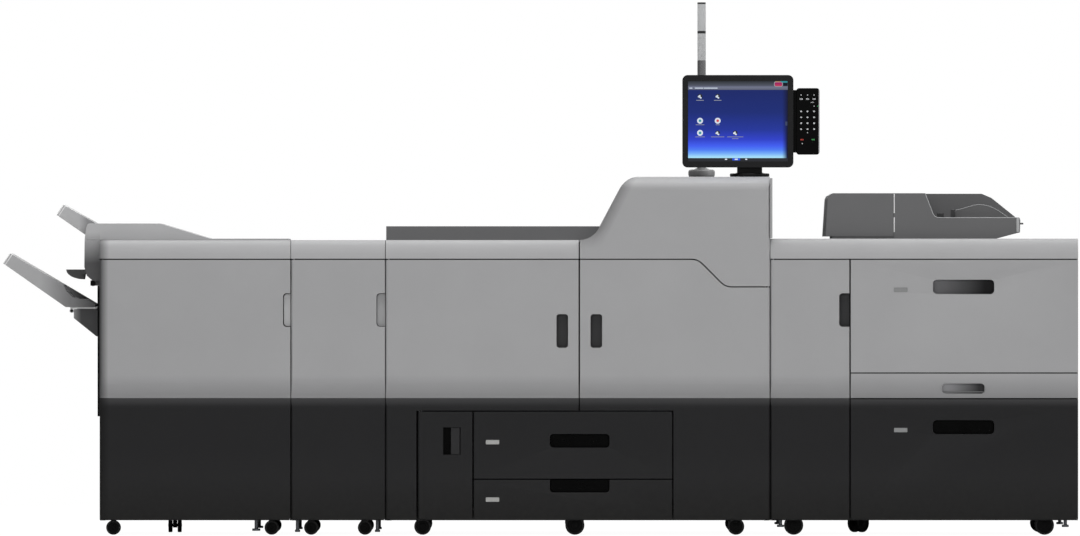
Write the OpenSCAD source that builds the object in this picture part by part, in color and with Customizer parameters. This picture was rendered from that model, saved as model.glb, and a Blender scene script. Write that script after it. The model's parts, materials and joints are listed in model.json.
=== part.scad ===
// Digital production printer line: finisher, pass-through unit, print engine and sheet feeder.
// +X runs from the finisher to the feeder, +Y from the doors to the back, +Z up from the floor.

/* [Line] */
// Width of the finisher
finisher_w = 656; // [560:1:780]
// Width of the pass-through unit
pass_w = 324; // [270:1:390]
// Width of the print engine
engine_w = 1320; // [1280:1:1580]
// Width of the sheet feeder
feeder_w = 1058; // [1020:1:1260]
// Gap between two neighbouring modules
module_gap = 2; // [1:0.5:4]
// Depth of the print engine, doors included
engine_d = 910; // [860:1:1080]
// Depth of the other modules, doors included
module_d = 730; // [700:1:840]
// Set-back of the other modules' doors behind the engine's doors
front_step = 4; // [2:1:8]

/* [Heights] */
// Height of the cabinet skirts above the floor
ground_clearance = 50; // [44:1:56]
// Height of the floor plates above the skirts' lower edge
plate_rise = 36; // [32:1:42]
// Height of the cabinet tops above the floor
cabinet_top = 1014; // [980:1:1080]
// Extra height of the feeder's top
feeder_rise = 5; // [3:1:8]
// Height of the rounded strip above the doors
lip_h = 64; // [52:1:76]
// Height of the waist line where the light covers meet the dark ones
waist_z = 471; // [450:1:500]
// Height of the line above the engine's paper trays
bay_top = 426; // [400:1:432]
// Height of the line between the engine's two paper trays
tray_line = 192; // [176:1:220]
// Visible gap between two neighbouring covers
seam = 4; // [4:0.5:5]

/* [Covers] */
// Thickness of doors and drawer fronts
door_t = 26; // [24:1:32]
// Rounding of upright cover edges, and inset of the door hinges
corner_r = 10; // [9:1:12]
// Rounding of the covers' other upright edges
edge_r = 4; // [3:0.5:6]
// Wall of the moulded covers
skin = 3; // [2:0.5:3.5]
// Thickness of the steel sheets
sheet = 3; // [2:0.5:3]
// Depth of the waist groove
waist_d = 9; // [6:1:11]
// Height over which the light covers curve in to the waist
sweep_h = 80; // [60:1:95]
// Height of the dark covers' slope below the waist
chamfer_h = 34; // [24:1:44]
// Free space between a closed door and the frame behind it
door_clear = 5; // [4:0.5:7]
// Radius of the door hinge pins
pin_r = 3; // [2.5:0.5:4]

/* [Handles] */
// Width of the engine doors' hand pockets
pocket_w = 41; // [34:1:48]
// Height of the doors' hand pockets
pocket_h = 117; // [98:1:138]
// Height of the pockets' lower edge above the floor
pocket_z = 643; // [600:1:680]
// Depth of every hand pocket
pocket_d = 20; // [16:1:20]
// Distance from the engine doors' meeting line to their hand pockets
pocket_inset = 38; // [30:1:46]
// Width of the pockets at the edges of the other doors
edge_pocket_w = 26; // [22:1:32]
// Width of the drawers' hand pockets
grip_w = 206; // [170:1:240]
// Height of the drawers' hand pockets
grip_h = 48; // [40:1:52]
// Width of the middle drawer's hand pocket
small_grip_w = 138; // [116:1:160]
// Height of the middle drawer's hand pocket
small_grip_h = 31; // [26:1:36]

/* [Engine] */
// Width of the engine's right door with half the gap beside it
right_door_w = 655; // [620:1:680]
// Distance from the engine's left side to the service door
service_x = 107; // [90:1:120]
// Width of the service door with the gaps beside it
service_w = 193; // [180:1:210]
// Width of the engine's paper trays with the gaps beside them
tray_w = 687; // [600:1:740]
// Depth of the bins behind the drawer fronts
bin_d = 540; // [480:1:580]
// Travel of the engine's paper trays
tray_travel = 400; // [340:1:440]
// Height of the raised section's top above the floor
hump_top = 1232; // [1210:1:1280]
// Angle of the raised section's left flank
hump_slope = 62; // [56:1:68]
// Radius of the concave foot of the flank
foot_r = 77; // [68:1:86]
// Radius of the convex shoulder of the flank
shoulder_r = 68; // [58:1:82]
// Depth of the toner cover at the front of the raised section
toner_cover_d = 52; // [51:1:60]
// Rounding of the toner cover's top edge
cover_round = 46; // [38:1:50]
// Drop of the curved line under the toner cover
curve_drop = 95; // [80:1:112]
// Distance from the engine's right side to the middle of that curve
curve_inset = 200; // [170:1:235]
// Radius of the two bends of that curve
curve_r = 50; // [40:1:60]
// Width by which the raised section overhangs the feeder
hump_overhang = 9; // [8:1:11]
// Height of the dark rear deck above the engine's top
deck_h = 48; // [40:1:56]
// Radius of a toner bottle
bottle_r = 48; // [40:1:52]
// Length of a toner bottle
bottle_l = 420; // [350:1:480]

/* [Control panel] */
// Width of the panel housing
panel_w = 382; // [360:1:400]
// Height of the panel housing
panel_h = 318; // [296:1:340]
// Thickness of the panel housing
panel_t = 40; // [34:1:46]
// Width of the bright screen
screen_w = 343; // [290:1:350]
// Height of the bright screen
screen_h = 276; // [230:1:284]
// Gap between the raised section and the panel's lower edge
panel_lift = 32; // [28:1:38]
// Width of the keypad
keypad_w = 80; // [68:1:92]
// Height of the keypad
keypad_h = 229; // [200:1:260]
// Height of the signal light above the raised section
beacon_h = 605; // [540:1:700]
// Radius of the signal light
beacon_r = 14.5; // [12:0.5:17]

/* [Finisher] */
// Reach of the stacking tray beyond the finisher's side
tray_reach = 338; // [300:1:380]
// Rise of the stacking tray from its base to its tip
tray_rise = 186; // [160:1:215]
// Height of the stacking tray's base above the floor
tray_base_z = 783; // [760:1:790]
// Width of the two output trays
out_tray_w = 352; // [300:1:390]
// Travel of the stacking tray down its rails
lift_travel = 260; // [220:1:270]
// Height of the raised hood above the finisher's top
hood_h = 57; // [50:1:68]
// Length of the raised hood over the finisher
hood_l = 379; // [330:1:440]
// Width by which the hood and the exit head overhang
head_overhang = 54; // [48:1:60]
// Drop of the sheet path below the cabinet tops
path_drop = 140; // [130:1:148]
// Height of the slots that sheets pass through
slot_h = 24; // [20:1:28]
// Length of the slots that sheets pass through
slot_l = 370; // [330:1:400]

/* [Feeder] */
// Width of the feeder's door with the gap beside it
feeder_door_w = 274; // [240:1:310]
// Height of the line under the feeder's upper drawer
upper_line = 557; // [544:1:570]
// Travel of the feeder's drawers
drawer_travel = 460; // [400:1:480]
// Width of the document feeder
document_w = 674; // [620:1:700]
// Depth of the document feeder
document_d = 500; // [440:1:530]
// Height of the document feeder
document_h = 156; // [135:1:180]
// Distance from the feeder's right side to the document feeder
document_inset = 197; // [160:1:230]

/* [Casters] */
// Radius of the finisher's and the pass-through unit's wheels
small_wheel_r = 25; // [22:1:28]
// Radius of the engine's outer wheels
engine_wheel_r = 29; // [26:1:32]
// Radius of the engine's middle wheels and the feeder's wheels
large_wheel_r = 33; // [30:1:35]
// Tread width of a wheel
wheel_w = 14; // [12:1:16]
// Gap between the two wheels of a caster
wheel_gap = 18; // [16:1:22]

/* [Hidden] */
$fn = 48;

// Cuts run past a face by this much
overrun = 1;
// Joint between two sheets of one frame
joint_line = 0.2;
// Running gap between parts that slide or turn on each other
run_gap = 0.4;
// Radial clearance of pins and shafts
pin_clear = 0.3;
// Gap between a door's lower edge and its hinge bracket
hinge_gap = 2;
// Least rounding of a hollow's edge
nub_r = 1;
// Steps of a quarter curve
arc_steps = 6;

// Places of the modules
line_w = tray_reach + finisher_w + pass_w + engine_w + feeder_w + 3 * module_gap;
finisher_x0 = tray_reach - line_w / 2;
finisher_x1 = finisher_x0 + finisher_w;
pass_x0 = finisher_x1 + module_gap;
pass_x1 = pass_x0 + pass_w;
engine_x0 = pass_x1 + module_gap;
engine_x1 = engine_x0 + engine_w;
feeder_x0 = engine_x1 + module_gap;
feeder_x1 = feeder_x0 + feeder_w;
engine_face = -engine_d / 2;
engine_back = engine_d / 2;
module_face = engine_face + front_step;
module_back = module_face + module_d;
module_mid = (module_face + module_back) / 2;

// Heights that all modules share
plate_z = ground_clearance + plate_rise;
plate_top = plate_z + sheet;
door_z0 = ground_clearance + sheet + hinge_gap;
feeder_top = cabinet_top + feeder_rise;
frame_set = door_t + door_clear;
lip_z = cabinet_top - lip_h;
door_z1 = lip_z - seam;
path_z = cabinet_top - path_drop;
slot_z0 = path_z - slot_h / 2;
slot_z1 = path_z + slot_h / 2;
slot_y0 = module_mid - slot_l / 2;
slot_y1 = module_mid + slot_l / 2;
half_seam = seam / 2;

// Box between two corners
module block(low, high) {
    translate(low) cube(high - low);
}

// Profile of Y and Z drawn out along X
module along_x(x0, x1) {
    translate([x0, 0, 0]) rotate([90, 0, 90]) linear_extrude(x1 - x0) children();
}

// Outline of X and Z drawn out along Y
module along_y(y0, y1) {
    translate([0, y1, 0]) rotate([90, 0, 0]) linear_extrude(y1 - y0) children();
}

// Round bar or bore along X, Y or Z from a start point
module bar_x(p, r, l) {
    translate(p) rotate([0, 90, 0]) cylinder(r = r, h = l);
}

module bar_y(p, r, l) {
    translate(p) rotate([-90, 0, 0]) cylinder(r = r, h = l);
}

module bar_z(p, r, l) {
    translate(p) cylinder(r = r, h = l);
}

// Points of an arc about a centre
function arc(c, r, a0, a1, steps = arc_steps) =
    [for (i = [0:steps]) let (a = a0 + (a1 - a0) * i / steps) c + r * [cos(a), sin(a)]];

// Flat rectangle with rounded corners
module round_rect(low, high, r) {
    polygon(concat(
        arc(low + [r, r], r, 180, 270), arc([high[0] - r, low[1] + r], r, 270, 360),
        arc(high - [r, r], r, 0, 90), arc([low[0] + r, high[1] - r], r, 90, 180)));
}

// Depth of the waist groove at a height
function waist(z) =
    z >= waist_z + sweep_h ? 0 :
    z >= waist_z ? waist_d * pow((waist_z + sweep_h - z) / sweep_h, 2) :
    z >= waist_z - chamfer_h ? waist_d * (z - waist_z + chamfer_h) / chamfer_h : 0;

waist_levels = concat([waist_z - chamfer_h],
    [for (i = [0:arc_steps]) waist_z + sweep_h * i / arc_steps]);

// Block with the common front face and rounded upright front edges
module front_slab(x0, x1, z0, z1, face, back, left_r, right_r) {
    levels = concat([z0], [for (z = waist_levels) if (z > z0 && z < z1) z], [z1]);
    intersection() {
        along_x(x0, x1) polygon(concat([for (z = levels) [face + waist(z), z]], [[back, z1], [back, z0]]));
        translate([0, 0, z0]) linear_extrude(z1 - z0) polygon(concat(
            arc([x0 + left_r, face + left_r], left_r, 180, 270),
            arc([x1 - right_r, face + right_r], right_r, 270, 360), [[x1, back], [x0, back]]));
    }
}

// Moulded cover, hollow behind, with its hinge at the left (-1), at the right (1) or nowhere.
// Pockets are [x0, x1, z0, z1]. Two children cut its outline: the first the cover, and the
// second, a skin larger, its hollow.
module front_pan(x0, x1, z0, z1, face, hinge, pockets) {
    back = face + door_t;
    left_r = hinge < 0 ? corner_r : edge_r;
    right_r = hinge > 0 ? corner_r : edge_r;
    difference() {
        union() {
            difference() {
                front_slab(x0, x1, z0, z1, face, back, left_r, right_r);
                difference() {
                    front_slab(x0 + skin, x1 - skin, z0 + skin, z1 - skin, face + skin, back + overrun,
                        max(left_r - skin, nub_r), max(right_r - skin, nub_r));
                    if ($children > 1) children(1);
                }
                if ($children > 0) children(0);
            }
            for (p = pockets) intersection() {
                block([p[0] - skin, face, p[2] - skin], [p[1] + skin, face + pocket_d + skin, p[3] + skin]);
                front_slab(x0, x1, z0, z1, face, back, left_r, right_r);
            }
        }
        for (p = pockets) block([p[0], face - overrun, p[2]], [p[1], face + pocket_d, p[3]]);
    }
}

// Hinge pin at the centre of a door's rounded edge, below a door or above it
module pin_below(x, face, z) {
    bar_z([x, face + corner_r, z - hinge_gap - sheet], pin_r, hinge_gap + sheet + skin);
}

module pin_above(x, face, z) {
    bar_z([x, face + corner_r, z - skin], pin_r, seam + 2 * skin);
}

// Rounded strip above the doors, with a bore for each hinge pin
module lip(x0, x1, face, z0, z1, pin_xs) {
    depth = face + frame_set - joint_line;
    function profile(inset) = concat(
        [for (i = [0:arc_steps]) let (a = 90 * i / arc_steps)
            [face + inset + door_t * (1 - cos(a)), z0 + inset + (z1 - z0 - 2 * inset) * sin(a)]],
        [[depth + (inset > 0 ? overrun : 0), z1 - inset], [depth + (inset > 0 ? overrun : 0), z0 + inset]]);
    difference() {
        along_x(x0, x1) polygon(profile(0));
        along_x(x0 + skin, x1 - skin) polygon(profile(skin));
        for (x = pin_xs) bar_z([x, face + corner_r, z0 - overrun], pin_r + pin_clear, skin + 2 * overrun);
    }
}

// Bracket under a door's lower hinge pin, hung from the floor plate
module foot_bracket(x, side, face) {
    inner = corner_r - sheet - joint_line;
    x0 = side > 0 ? x - inner : x - corner_r;
    x1 = side > 0 ? x + corner_r : x + inner;
    y1 = face + frame_set + sheet;
    difference() {
        union() {
            block([x0, face + skin, ground_clearance], [x1, y1, ground_clearance + sheet]);
            block([x0, y1 - sheet, ground_clearance], [x1, y1, plate_z - joint_line]);
        }
        bar_z([x, face + corner_r, ground_clearance - overrun], pin_r + pin_clear, sheet + 2 * overrun);
    }
}

// Side sheet of a cabinet, in strips round the sheet slot where there is one
module side_sheet(x, y0, y1, z1, slotted) {
    if (slotted) {
        block([x, y0, ground_clearance], [x + sheet, y1, slot_z0]);
        block([x, y0, slot_z1], [x + sheet, y1, z1]);
        block([x, y0, slot_z0 + joint_line], [x + sheet, slot_y0, slot_z1 - joint_line]);
        block([x, slot_y1, slot_z0 + joint_line], [x + sheet, y1, slot_z1 - joint_line]);
    } else {
        block([x, y0, ground_clearance], [x + sheet, y1, z1]);
    }
}

// Floor, sides and back of a cabinet
module carcass(x0, x1, face, back, top, slot_left, slot_right) {
    y0 = face + frame_set;
    y1 = back - sheet - joint_line;
    z1 = top - sheet - joint_line;
    side_sheet(x0, y0, y1, z1, slot_left);
    side_sheet(x1 - sheet, y0, y1, z1, slot_right);
    block([x0, back - sheet, ground_clearance], [x1, back, z1]);
    block([x0 + sheet + joint_line, y0, plate_z], [x1 - sheet - joint_line, y1, plate_top]);
}

// Docking studs between a module's left side and its neighbour
dock_r = 12;
dock_set = 200;
module docking(x, z) {
    for (y = [module_mid - dock_set, module_mid + dock_set])
        bar_x([x - module_gap + joint_line, y, z], dock_r, module_gap - 2 * joint_line);
}

// Two upright plates across a cabinet, carrying pairs of feed rollers along the sheet path
feed_r = 11;
nip_half = 1;
feed_plate_h = 64;
feed_side = 24;
module feed_rollers(x0, x1, xs, low) {
    y0 = slot_y0 - feed_side;
    y1 = slot_y1 + feed_side;
    for (y = [y0, y1 - sheet])
        block([x0 + joint_line, y, low], [x1 - joint_line, y + sheet, path_z + feed_plate_h]);
    for (x = xs) for (s = [-1, 1])
        bar_y([x, y0 + sheet + joint_line, path_z + s * (feed_r + nip_half)], feed_r,
            y1 - y0 - 2 * sheet - 2 * joint_line);
}

// Rear hinge of a lid: a stand with cheeks and pin, and the lid's knuckle with its arm
knuckle_r = 9;
knuckle_l = 30;
lid_pin_r = 4;
hinge_reach = 18;
hinge_rise = 16;
module hinge_stand(x, y, base) {
    z = base + hinge_rise;
    half = knuckle_l / 2 + run_gap;
    bar_x([x - half - sheet, y, z], lid_pin_r, 2 * half + 2 * sheet);
    for (x0 = [x - half - sheet, x + half])
        block([x0, y - knuckle_r, base + joint_line], [x0 + sheet, y + knuckle_r, z + knuckle_r]);
    block([x - half - sheet, y - knuckle_r, base + joint_line],
        [x + half + sheet, y + knuckle_r, base + sheet]);
}

module lid_knuckle(x, y, base) {
    z = base + hinge_rise;
    difference() {
        union() {
            bar_x([x - knuckle_l / 2, y, z], knuckle_r, knuckle_l);
            block([x - knuckle_l / 2, y - hinge_reach - skin / 2, z], [x + knuckle_l / 2, y, z + knuckle_r]);
        }
        bar_x([x - knuckle_l, y, z], lid_pin_r + pin_clear, 2 * knuckle_l);
    }
}

// Bin behind a drawer front: floor, sides, back and front wall
rail_w = 10;
rail_h = 6;
module bin(x0, x1, z0, z1, face) {
    y0 = face + door_t + joint_line;
    y1 = y0 + bin_d;
    z = z0 + sheet + joint_line;
    block([x0, y0, z0], [x1, y1, z0 + sheet]);
    for (x = [x0, x1 - sheet])
        block([x, y0 + sheet + joint_line, z], [x + sheet, y1 - sheet - joint_line, z1]);
    for (y = [y0, y1 - sheet]) block([x0, y, z], [x1, y + sheet, z1]);
}

// Pair of rails on the walls beside a bin
module bin_rails(x0, x1, z, face) {
    y0 = face + frame_set;
    for (x = [x0 + joint_line, x1 - joint_line - rail_w])
        block([x, y0, z], [x + rail_w, y0 + bin_d, z + rail_h]);
}

// Colours of the finishes
light_cover = "#a9abad";
dark_cover = "#3a3b3d";
deck_grey = "#66686a";
black_part = "#1d1e20";
steel = "#8b8e91";
screen_blue = "#4d7fb5";
lens_clear = "#e6e8ea";

// Places on the engine
split_x = engine_x1 - right_door_w;
service_x0 = engine_x0 + service_x;
tray_x0 = service_x0 + service_w;
tray_x1 = tray_x0 + tray_w;
engine_frame_y = engine_face + frame_set;
roof_z = bay_top + half_seam;
right_hinge_x = engine_x1 - corner_r;
hinge_y = engine_face + corner_r;
hump_y0 = engine_face + toner_cover_d + half_seam;
bay_slack = 30;
bay_back = engine_frame_y + bin_d + bay_slack;
grip_shift = 23;
bin_head = 30;
bin_low = 12;

// Curved line between the toner cover and the right door
bend = 45;
curve_top = lip_z - half_seam;
curve_low = curve_top - curve_drop;
curve_half = curve_r * sin(bend) + curve_drop / 2 - curve_r * (1 - cos(bend));
curve_mid = engine_x1 - curve_inset;
function curve_line(e) = concat(
    [[split_x - overrun, curve_top + e]],
    arc([curve_mid - curve_half, curve_top - curve_r], curve_r + e, 90, bend),
    arc([curve_mid + curve_half, curve_low + curve_r], curve_r - e, 180 + bend, 270),
    [[engine_x1 + overrun, curve_low + e]]);

// Room over that line, and room over the trays beside a door's leg
module over_curve(e) {
    along_y(engine_face - overrun, engine_frame_y) polygon(concat(curve_line(e),
        [[engine_x1 + overrun, hump_top], [split_x - overrun, hump_top]]));
}

module tray_room(x0, x1, grow) {
    block([x0 - grow, engine_face - overrun, 0], [x1 + grow, engine_frame_y, roof_z + grow]);
}

// Raised section's outline from its foot to its right side, inset by a wall
shoulder_rise = shoulder_r * (1 - cos(hump_slope));
foot_rise = foot_r * (1 - cos(hump_slope));
flank_run = (hump_top - cabinet_top - shoulder_rise - foot_rise) / tan(hump_slope);
shoulder_x = split_x + (foot_r + shoulder_r) * sin(hump_slope) + flank_run;
function hump_line(inset) = concat(
    arc([split_x, cabinet_top + foot_r], foot_r + inset, 270, 270 + hump_slope),
    arc([shoulder_x, hump_top - shoulder_r], shoulder_r - inset, 90 + hump_slope, 90));

// Pivot lug of the toner cover, and the cover's web that turns on its pin
lug_r = 6;
lug_drop = 84;
lug_z = hump_top - lug_drop;
web_t = 9;
wall_link = 30;

// Solid of the toner cover, inset by a wall
module toner_block(i) {
    back = engine_face + toner_cover_d + (i > 0 ? overrun : 0);
    x0 = split_x + half_seam + i;
    x1 = engine_x1 - i;
    low = curve_low - overrun;
    top = hump_top - cover_round;
    r = corner_r - i;
    intersection() {
        along_y(engine_face, back) polygon(concat(hump_line(i), [[x1 + overrun, hump_top - i]],
            [for (k = [len(curve_line(0)) - 1:-1:0]) curve_line(half_seam + i)[k]]));
        along_x(x0, x1) polygon(concat([[engine_face + i, low]],
            arc([engine_face + cover_round, top], cover_round - i, 180, 90),
            [[back, hump_top - i], [back, low]]));
        translate([0, 0, low]) linear_extrude(hump_top - low) polygon(concat(
            [[x0, back], [x0, engine_face + i]],
            arc([x1 - r, engine_face + i + r], r, 270, 360), [[x1, back]]));
    }
}

module toner_cover() color(light_cover) {
    difference() {
        union() {
            difference() {
                toner_block(0);
                toner_block(skin);
            }
            block([right_hinge_x - lug_r, engine_face + skin / 2, lug_z - run_gap - web_t],
                [right_hinge_x, hinge_y + lug_r, lug_z - run_gap]);
            bar_z([right_hinge_x, hinge_y, lug_z - run_gap - web_t], corner_r - skin / 2, web_t);
        }
        block([split_x, engine_face + door_t, curve_low],
            [engine_x1 + overrun, hump_y0, cabinet_top + half_seam]);
        block([right_hinge_x, hinge_y - lug_r - pin_clear, lug_z - run_gap],
            [engine_x1 + overrun, hump_y0, lug_z + sheet + run_gap]);
        bar_z([right_hinge_x, hinge_y, lug_z - web_t - overrun], pin_r + pin_clear, web_t + 2 * overrun);
        bar_z([right_hinge_x, hinge_y, curve_low], pin_r + pin_clear, half_seam + skin + overrun);
    }
}

// Deck at the back of the engine's left half
deck_set = 150;
deck_over = 92;
deck_y0 = engine_face + deck_set;
deck_x1 = split_x + deck_over;
deck_top = cabinet_top + deck_h;
// Where the raised section's foot crosses the deck's top
deck_seam_x = split_x + sqrt(pow(foot_r, 2) - pow(foot_r - deck_h, 2)) - half_seam;
cheek_z0 = feeder_top + half_seam;
cheek_drop = 5;
module hump_shell() color(light_cover) {
    difference() {
        intersection() {
            along_y(hump_y0, engine_back) polygon(concat(hump_line(0),
                [[engine_x1, hump_top], [engine_x1, lip_z], [split_x, lip_z]]));
            block([split_x, hump_y0, cabinet_top + joint_line], [engine_x1, engine_back, hump_top]);
        }
        along_y(hump_y0 - overrun, engine_back - skin) polygon(concat(hump_line(skin),
            [[engine_x1 - skin, hump_top - skin], [engine_x1 - skin, lip_z], [split_x, lip_z]]));
        block([split_x - overrun, deck_y0 - run_gap, cabinet_top],
            [deck_x1 + run_gap, engine_back + overrun, deck_top + run_gap]);
    }
    block([engine_x1 + half_seam / 2, engine_face, cheek_z0],
        [engine_x1 + hump_overhang, engine_back, hump_top - cheek_drop]);
    block([engine_x1 - skin, hump_y0, cheek_z0],
        [engine_x1 + hump_overhang, engine_back, cheek_z0 + wall_link]);
    bar_z([right_hinge_x, hinge_y, lug_z], lug_r, sheet);
    block([right_hinge_x - lug_r, hinge_y, lug_z],
        [right_hinge_x + lug_r, hump_y0 + wall_link, lug_z + sheet]);
    block([right_hinge_x - lug_r, hump_y0, lug_z],
        [engine_x1 - skin / 2, hump_y0 + wall_link, lug_z + sheet]);
    bar_z([right_hinge_x, hinge_y, lug_z - run_gap - web_t], pin_r, web_t + run_gap + sheet);
}

module rear_deck() color(deck_grey) {
    difference() {
        block([engine_x0, deck_y0, cabinet_top + joint_line], [deck_x1, engine_back, deck_top]);
        block([engine_x0 + skin, deck_y0 + skin, cabinet_top],
            [deck_x1 - skin, engine_back - skin, deck_top - skin]);
        block([deck_seam_x, deck_y0 - overrun, deck_top - overrun],
            [deck_x1 + overrun, engine_back + overrun, deck_top + overrun]);
    }
}

module left_top_cover() color(light_cover) {
    lip(engine_x0, split_x - half_seam, engine_face, lip_z, cabinet_top, [engine_x0 + corner_r]);
    block([engine_x0, engine_frame_y, cabinet_top - sheet], [split_x - half_seam, engine_back, cabinet_top]);
}

// Toner bottles lying on two cradles
bottle_gap = 8;
bottle_step = 2 * bottle_r + bottle_gap;
bottle_set = 16;
bottle_cap = 14;
cradle_t = 20;
cradle_h = 26;
cradle_floor = 4;
bottle_z = cabinet_top + cradle_floor + bottle_r;
bottle_xs = [for (i = [0:3]) engine_x1 - 2 * skin - bottle_gap - bottle_r - i * bottle_step];
module toner_bottles() color(black_part) for (x = bottle_xs) {
    bar_y([x, hump_y0 + bottle_set + bottle_cap, bottle_z], bottle_r, bottle_l);
    bar_y([x, hump_y0 + bottle_set, bottle_z], bottle_r / 2, bottle_cap);
}

module bottle_cradles() {
    for (y = [hump_y0 + bottle_set + bottle_cap + cradle_t, hump_y0 + bottle_set + bottle_l - cradle_t])
        difference() {
            block([bottle_xs[3] - bottle_r, y, cabinet_top],
                [bottle_xs[0] + bottle_r, y + cradle_t, cabinet_top + cradle_h]);
            for (x = bottle_xs)
                bar_y([x, y - overrun, bottle_z], bottle_r + pin_clear, cradle_t + 2 * overrun);
        }
}

// Mains inlet of the power unit
inlet_w = 34;
inlet_h = 26;
inlet_deep = 20;
inlet_rim = 6;
power_w = 300;
power_h = 220;
power_x0 = engine_x0 + service_x;
inlet_x = power_x0 + power_w / 2;
inlet_z = plate_top + power_h / 2;
inlet_x0 = inlet_x - inlet_w / 2 - inlet_rim;
inlet_x1 = inlet_x + inlet_w / 2 + inlet_rim;
inlet_z0 = inlet_z - inlet_h / 2 - inlet_rim;
inlet_z1 = inlet_z + inlet_h / 2 + inlet_rim;
inlet_y0 = engine_back - inlet_deep - inlet_rim;
power_back = engine_back - sheet - joint_line;
power_y0 = bay_back + bay_slack;

module engine_frame() color(steel) {
    difference() {
        carcass(engine_x0, engine_x1, engine_face, engine_back, cabinet_top, true, true);
        block([inlet_x0 - run_gap, power_back, inlet_z0 - run_gap],
            [inlet_x1 + run_gap, engine_back + overrun, inlet_z1 + run_gap]);
    }
    block([split_x - half_seam + joint_line, engine_frame_y, cabinet_top - sheet],
        [engine_x1, engine_back, cabinet_top]);
    bottle_cradles();
    service_pin();
    for (x = [tray_x0, tray_x1 - sheet])
        block([x, engine_frame_y, plate_top + joint_line], [x + sheet, bay_back, roof_z - joint_line]);
    block([engine_x0 + sheet + joint_line, engine_frame_y, roof_z],
        [engine_x1 - sheet - joint_line, bay_back, roof_z + sheet]);
    for (z = [plate_top + half_seam, tray_line + half_seam + skin])
        bin_rails(tray_x0 + sheet, tray_x1 - sheet, z, engine_face);
    for (x = [engine_x0 + corner_r, service_x0 + half_seam + corner_r]) foot_bracket(x, 1, engine_face);
    foot_bracket(right_hinge_x, -1, engine_face);
    bar_z([right_hinge_x, hinge_y, curve_low - sheet / 2], lug_r, sheet);
    block([right_hinge_x - lug_r, hinge_y, curve_low - sheet / 2],
        [right_hinge_x + lug_r, engine_frame_y + wall_link, curve_low + sheet / 2]);
    bar_z([right_hinge_x, hinge_y, curve_low - half_seam - skin - overrun], pin_r,
        seam + 2 * skin + 2 * overrun);
}

module left_front_door() color(light_cover) {
    x1 = split_x - half_seam;
    px = split_x - pocket_inset;
    front_pan(engine_x0, x1, door_z0, door_z1, engine_face, -1,
        [[px - pocket_w, px, pocket_z, pocket_z + pocket_h]]) {
        tray_room(service_x0 - half_seam, split_x, 0);
        tray_room(service_x0 - half_seam, split_x, skin);
    }
    pin_below(engine_x0 + corner_r, engine_face, door_z0);
    pin_above(engine_x0 + corner_r, engine_face, door_z1);
}

module right_front_door() color(light_cover) {
    px = split_x + pocket_inset;
    difference() {
        front_pan(split_x + half_seam, engine_x1, door_z0, door_z1, engine_face, 1,
            [[px, px + pocket_w, pocket_z, pocket_z + pocket_h]]) {
            union() {
                tray_room(split_x, tray_x1 + half_seam, 0);
                over_curve(-half_seam);
            }
            union() {
                tray_room(split_x, tray_x1 + half_seam, skin);
                over_curve(-half_seam - skin);
            }
        }
        bar_z([right_hinge_x, hinge_y, curve_low - half_seam - skin - overrun], pin_r + pin_clear,
            skin + 2 * overrun);
    }
    pin_below(right_hinge_x, engine_face, door_z0);
}

// Small dark door at the lower left, with the pocket of its latch
latch_inset = 90;
latch_w = 60;
latch_h = 94;
latch_low = 276;
paddle_w = 28;
paddle_t = 6;
paddle_r = 4;
latch_pin_r = 2;
paddle_gap = 1;
latch_x0 = service_x0 + latch_inset;
latch_x1 = latch_x0 + latch_w;
paddle_x = latch_x1 - paddle_gap - paddle_r;
paddle_y = engine_face + waist_d / 2 + paddle_r;
service_z1 = bay_top - half_seam;
service_hinge_x = service_x0 + half_seam + corner_r;
module service_door() color(dark_cover) {
    difference() {
        front_pan(service_x0 + half_seam, tray_x0 - half_seam, door_z0, service_z1, engine_face, -1,
            [[latch_x0, latch_x1, latch_low, latch_low + latch_h]]);
        bar_z([paddle_x, paddle_y, latch_low - skin + overrun], latch_pin_r + pin_clear,
            latch_h + 2 * skin - 2 * overrun);
        bar_z([service_hinge_x, hinge_y, service_z1 - skin - overrun], pin_r + pin_clear, skin + 2 * overrun);
    }
    pin_below(service_hinge_x, engine_face, door_z0);
}

module service_latch() color(black_part) {
    z0 = latch_low + paddle_gap;
    h = latch_h - 2 * paddle_gap;
    bar_z([paddle_x, paddle_y, z0], paddle_r, h);
    block([paddle_x - paddle_w, paddle_y - paddle_r, z0], [paddle_x, paddle_y - paddle_r + paddle_t, z0 + h]);
    bar_z([paddle_x, paddle_y, z0 - paddle_gap - skin / 2], latch_pin_r, h + 2 * paddle_gap + skin);
}

// Bracket with the service door's upper pin
module service_pin() {
    bar_z([service_hinge_x, hinge_y, bay_top - sheet / 2], lug_r, sheet);
    block([service_hinge_x - lug_r, hinge_y, bay_top - sheet / 2],
        [service_hinge_x + lug_r, engine_frame_y + wall_link, bay_top + sheet / 2]);
    bar_z([service_hinge_x, hinge_y, service_z1 - skin - overrun], pin_r, skin + overrun + half_seam);
}

// Engine's paper trays
grip_drop = 78;
tray_mid = (tray_x0 + tray_x1) / 2 + grip_shift;
tray_grip = [tray_mid - grip_w / 2, tray_mid + grip_w / 2];
bin_x0 = tray_x0 + sheet + run_gap;
bin_x1 = tray_x1 - sheet - run_gap;
upper_tray_z0 = tray_line + half_seam;
lower_tray_z1 = tray_line - half_seam;
module upper_paper_tray() color(dark_cover) {
    top = bay_top - grip_drop;
    front_pan(tray_x0 + half_seam, tray_x1 - half_seam, upper_tray_z0, bay_top - half_seam, engine_face, 0,
        [[tray_grip[0], tray_grip[1], top - grip_h, top]]);
    bin(bin_x0, bin_x1, upper_tray_z0 + skin + rail_h + run_gap, bay_top - bin_head, engine_face);
}

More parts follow.
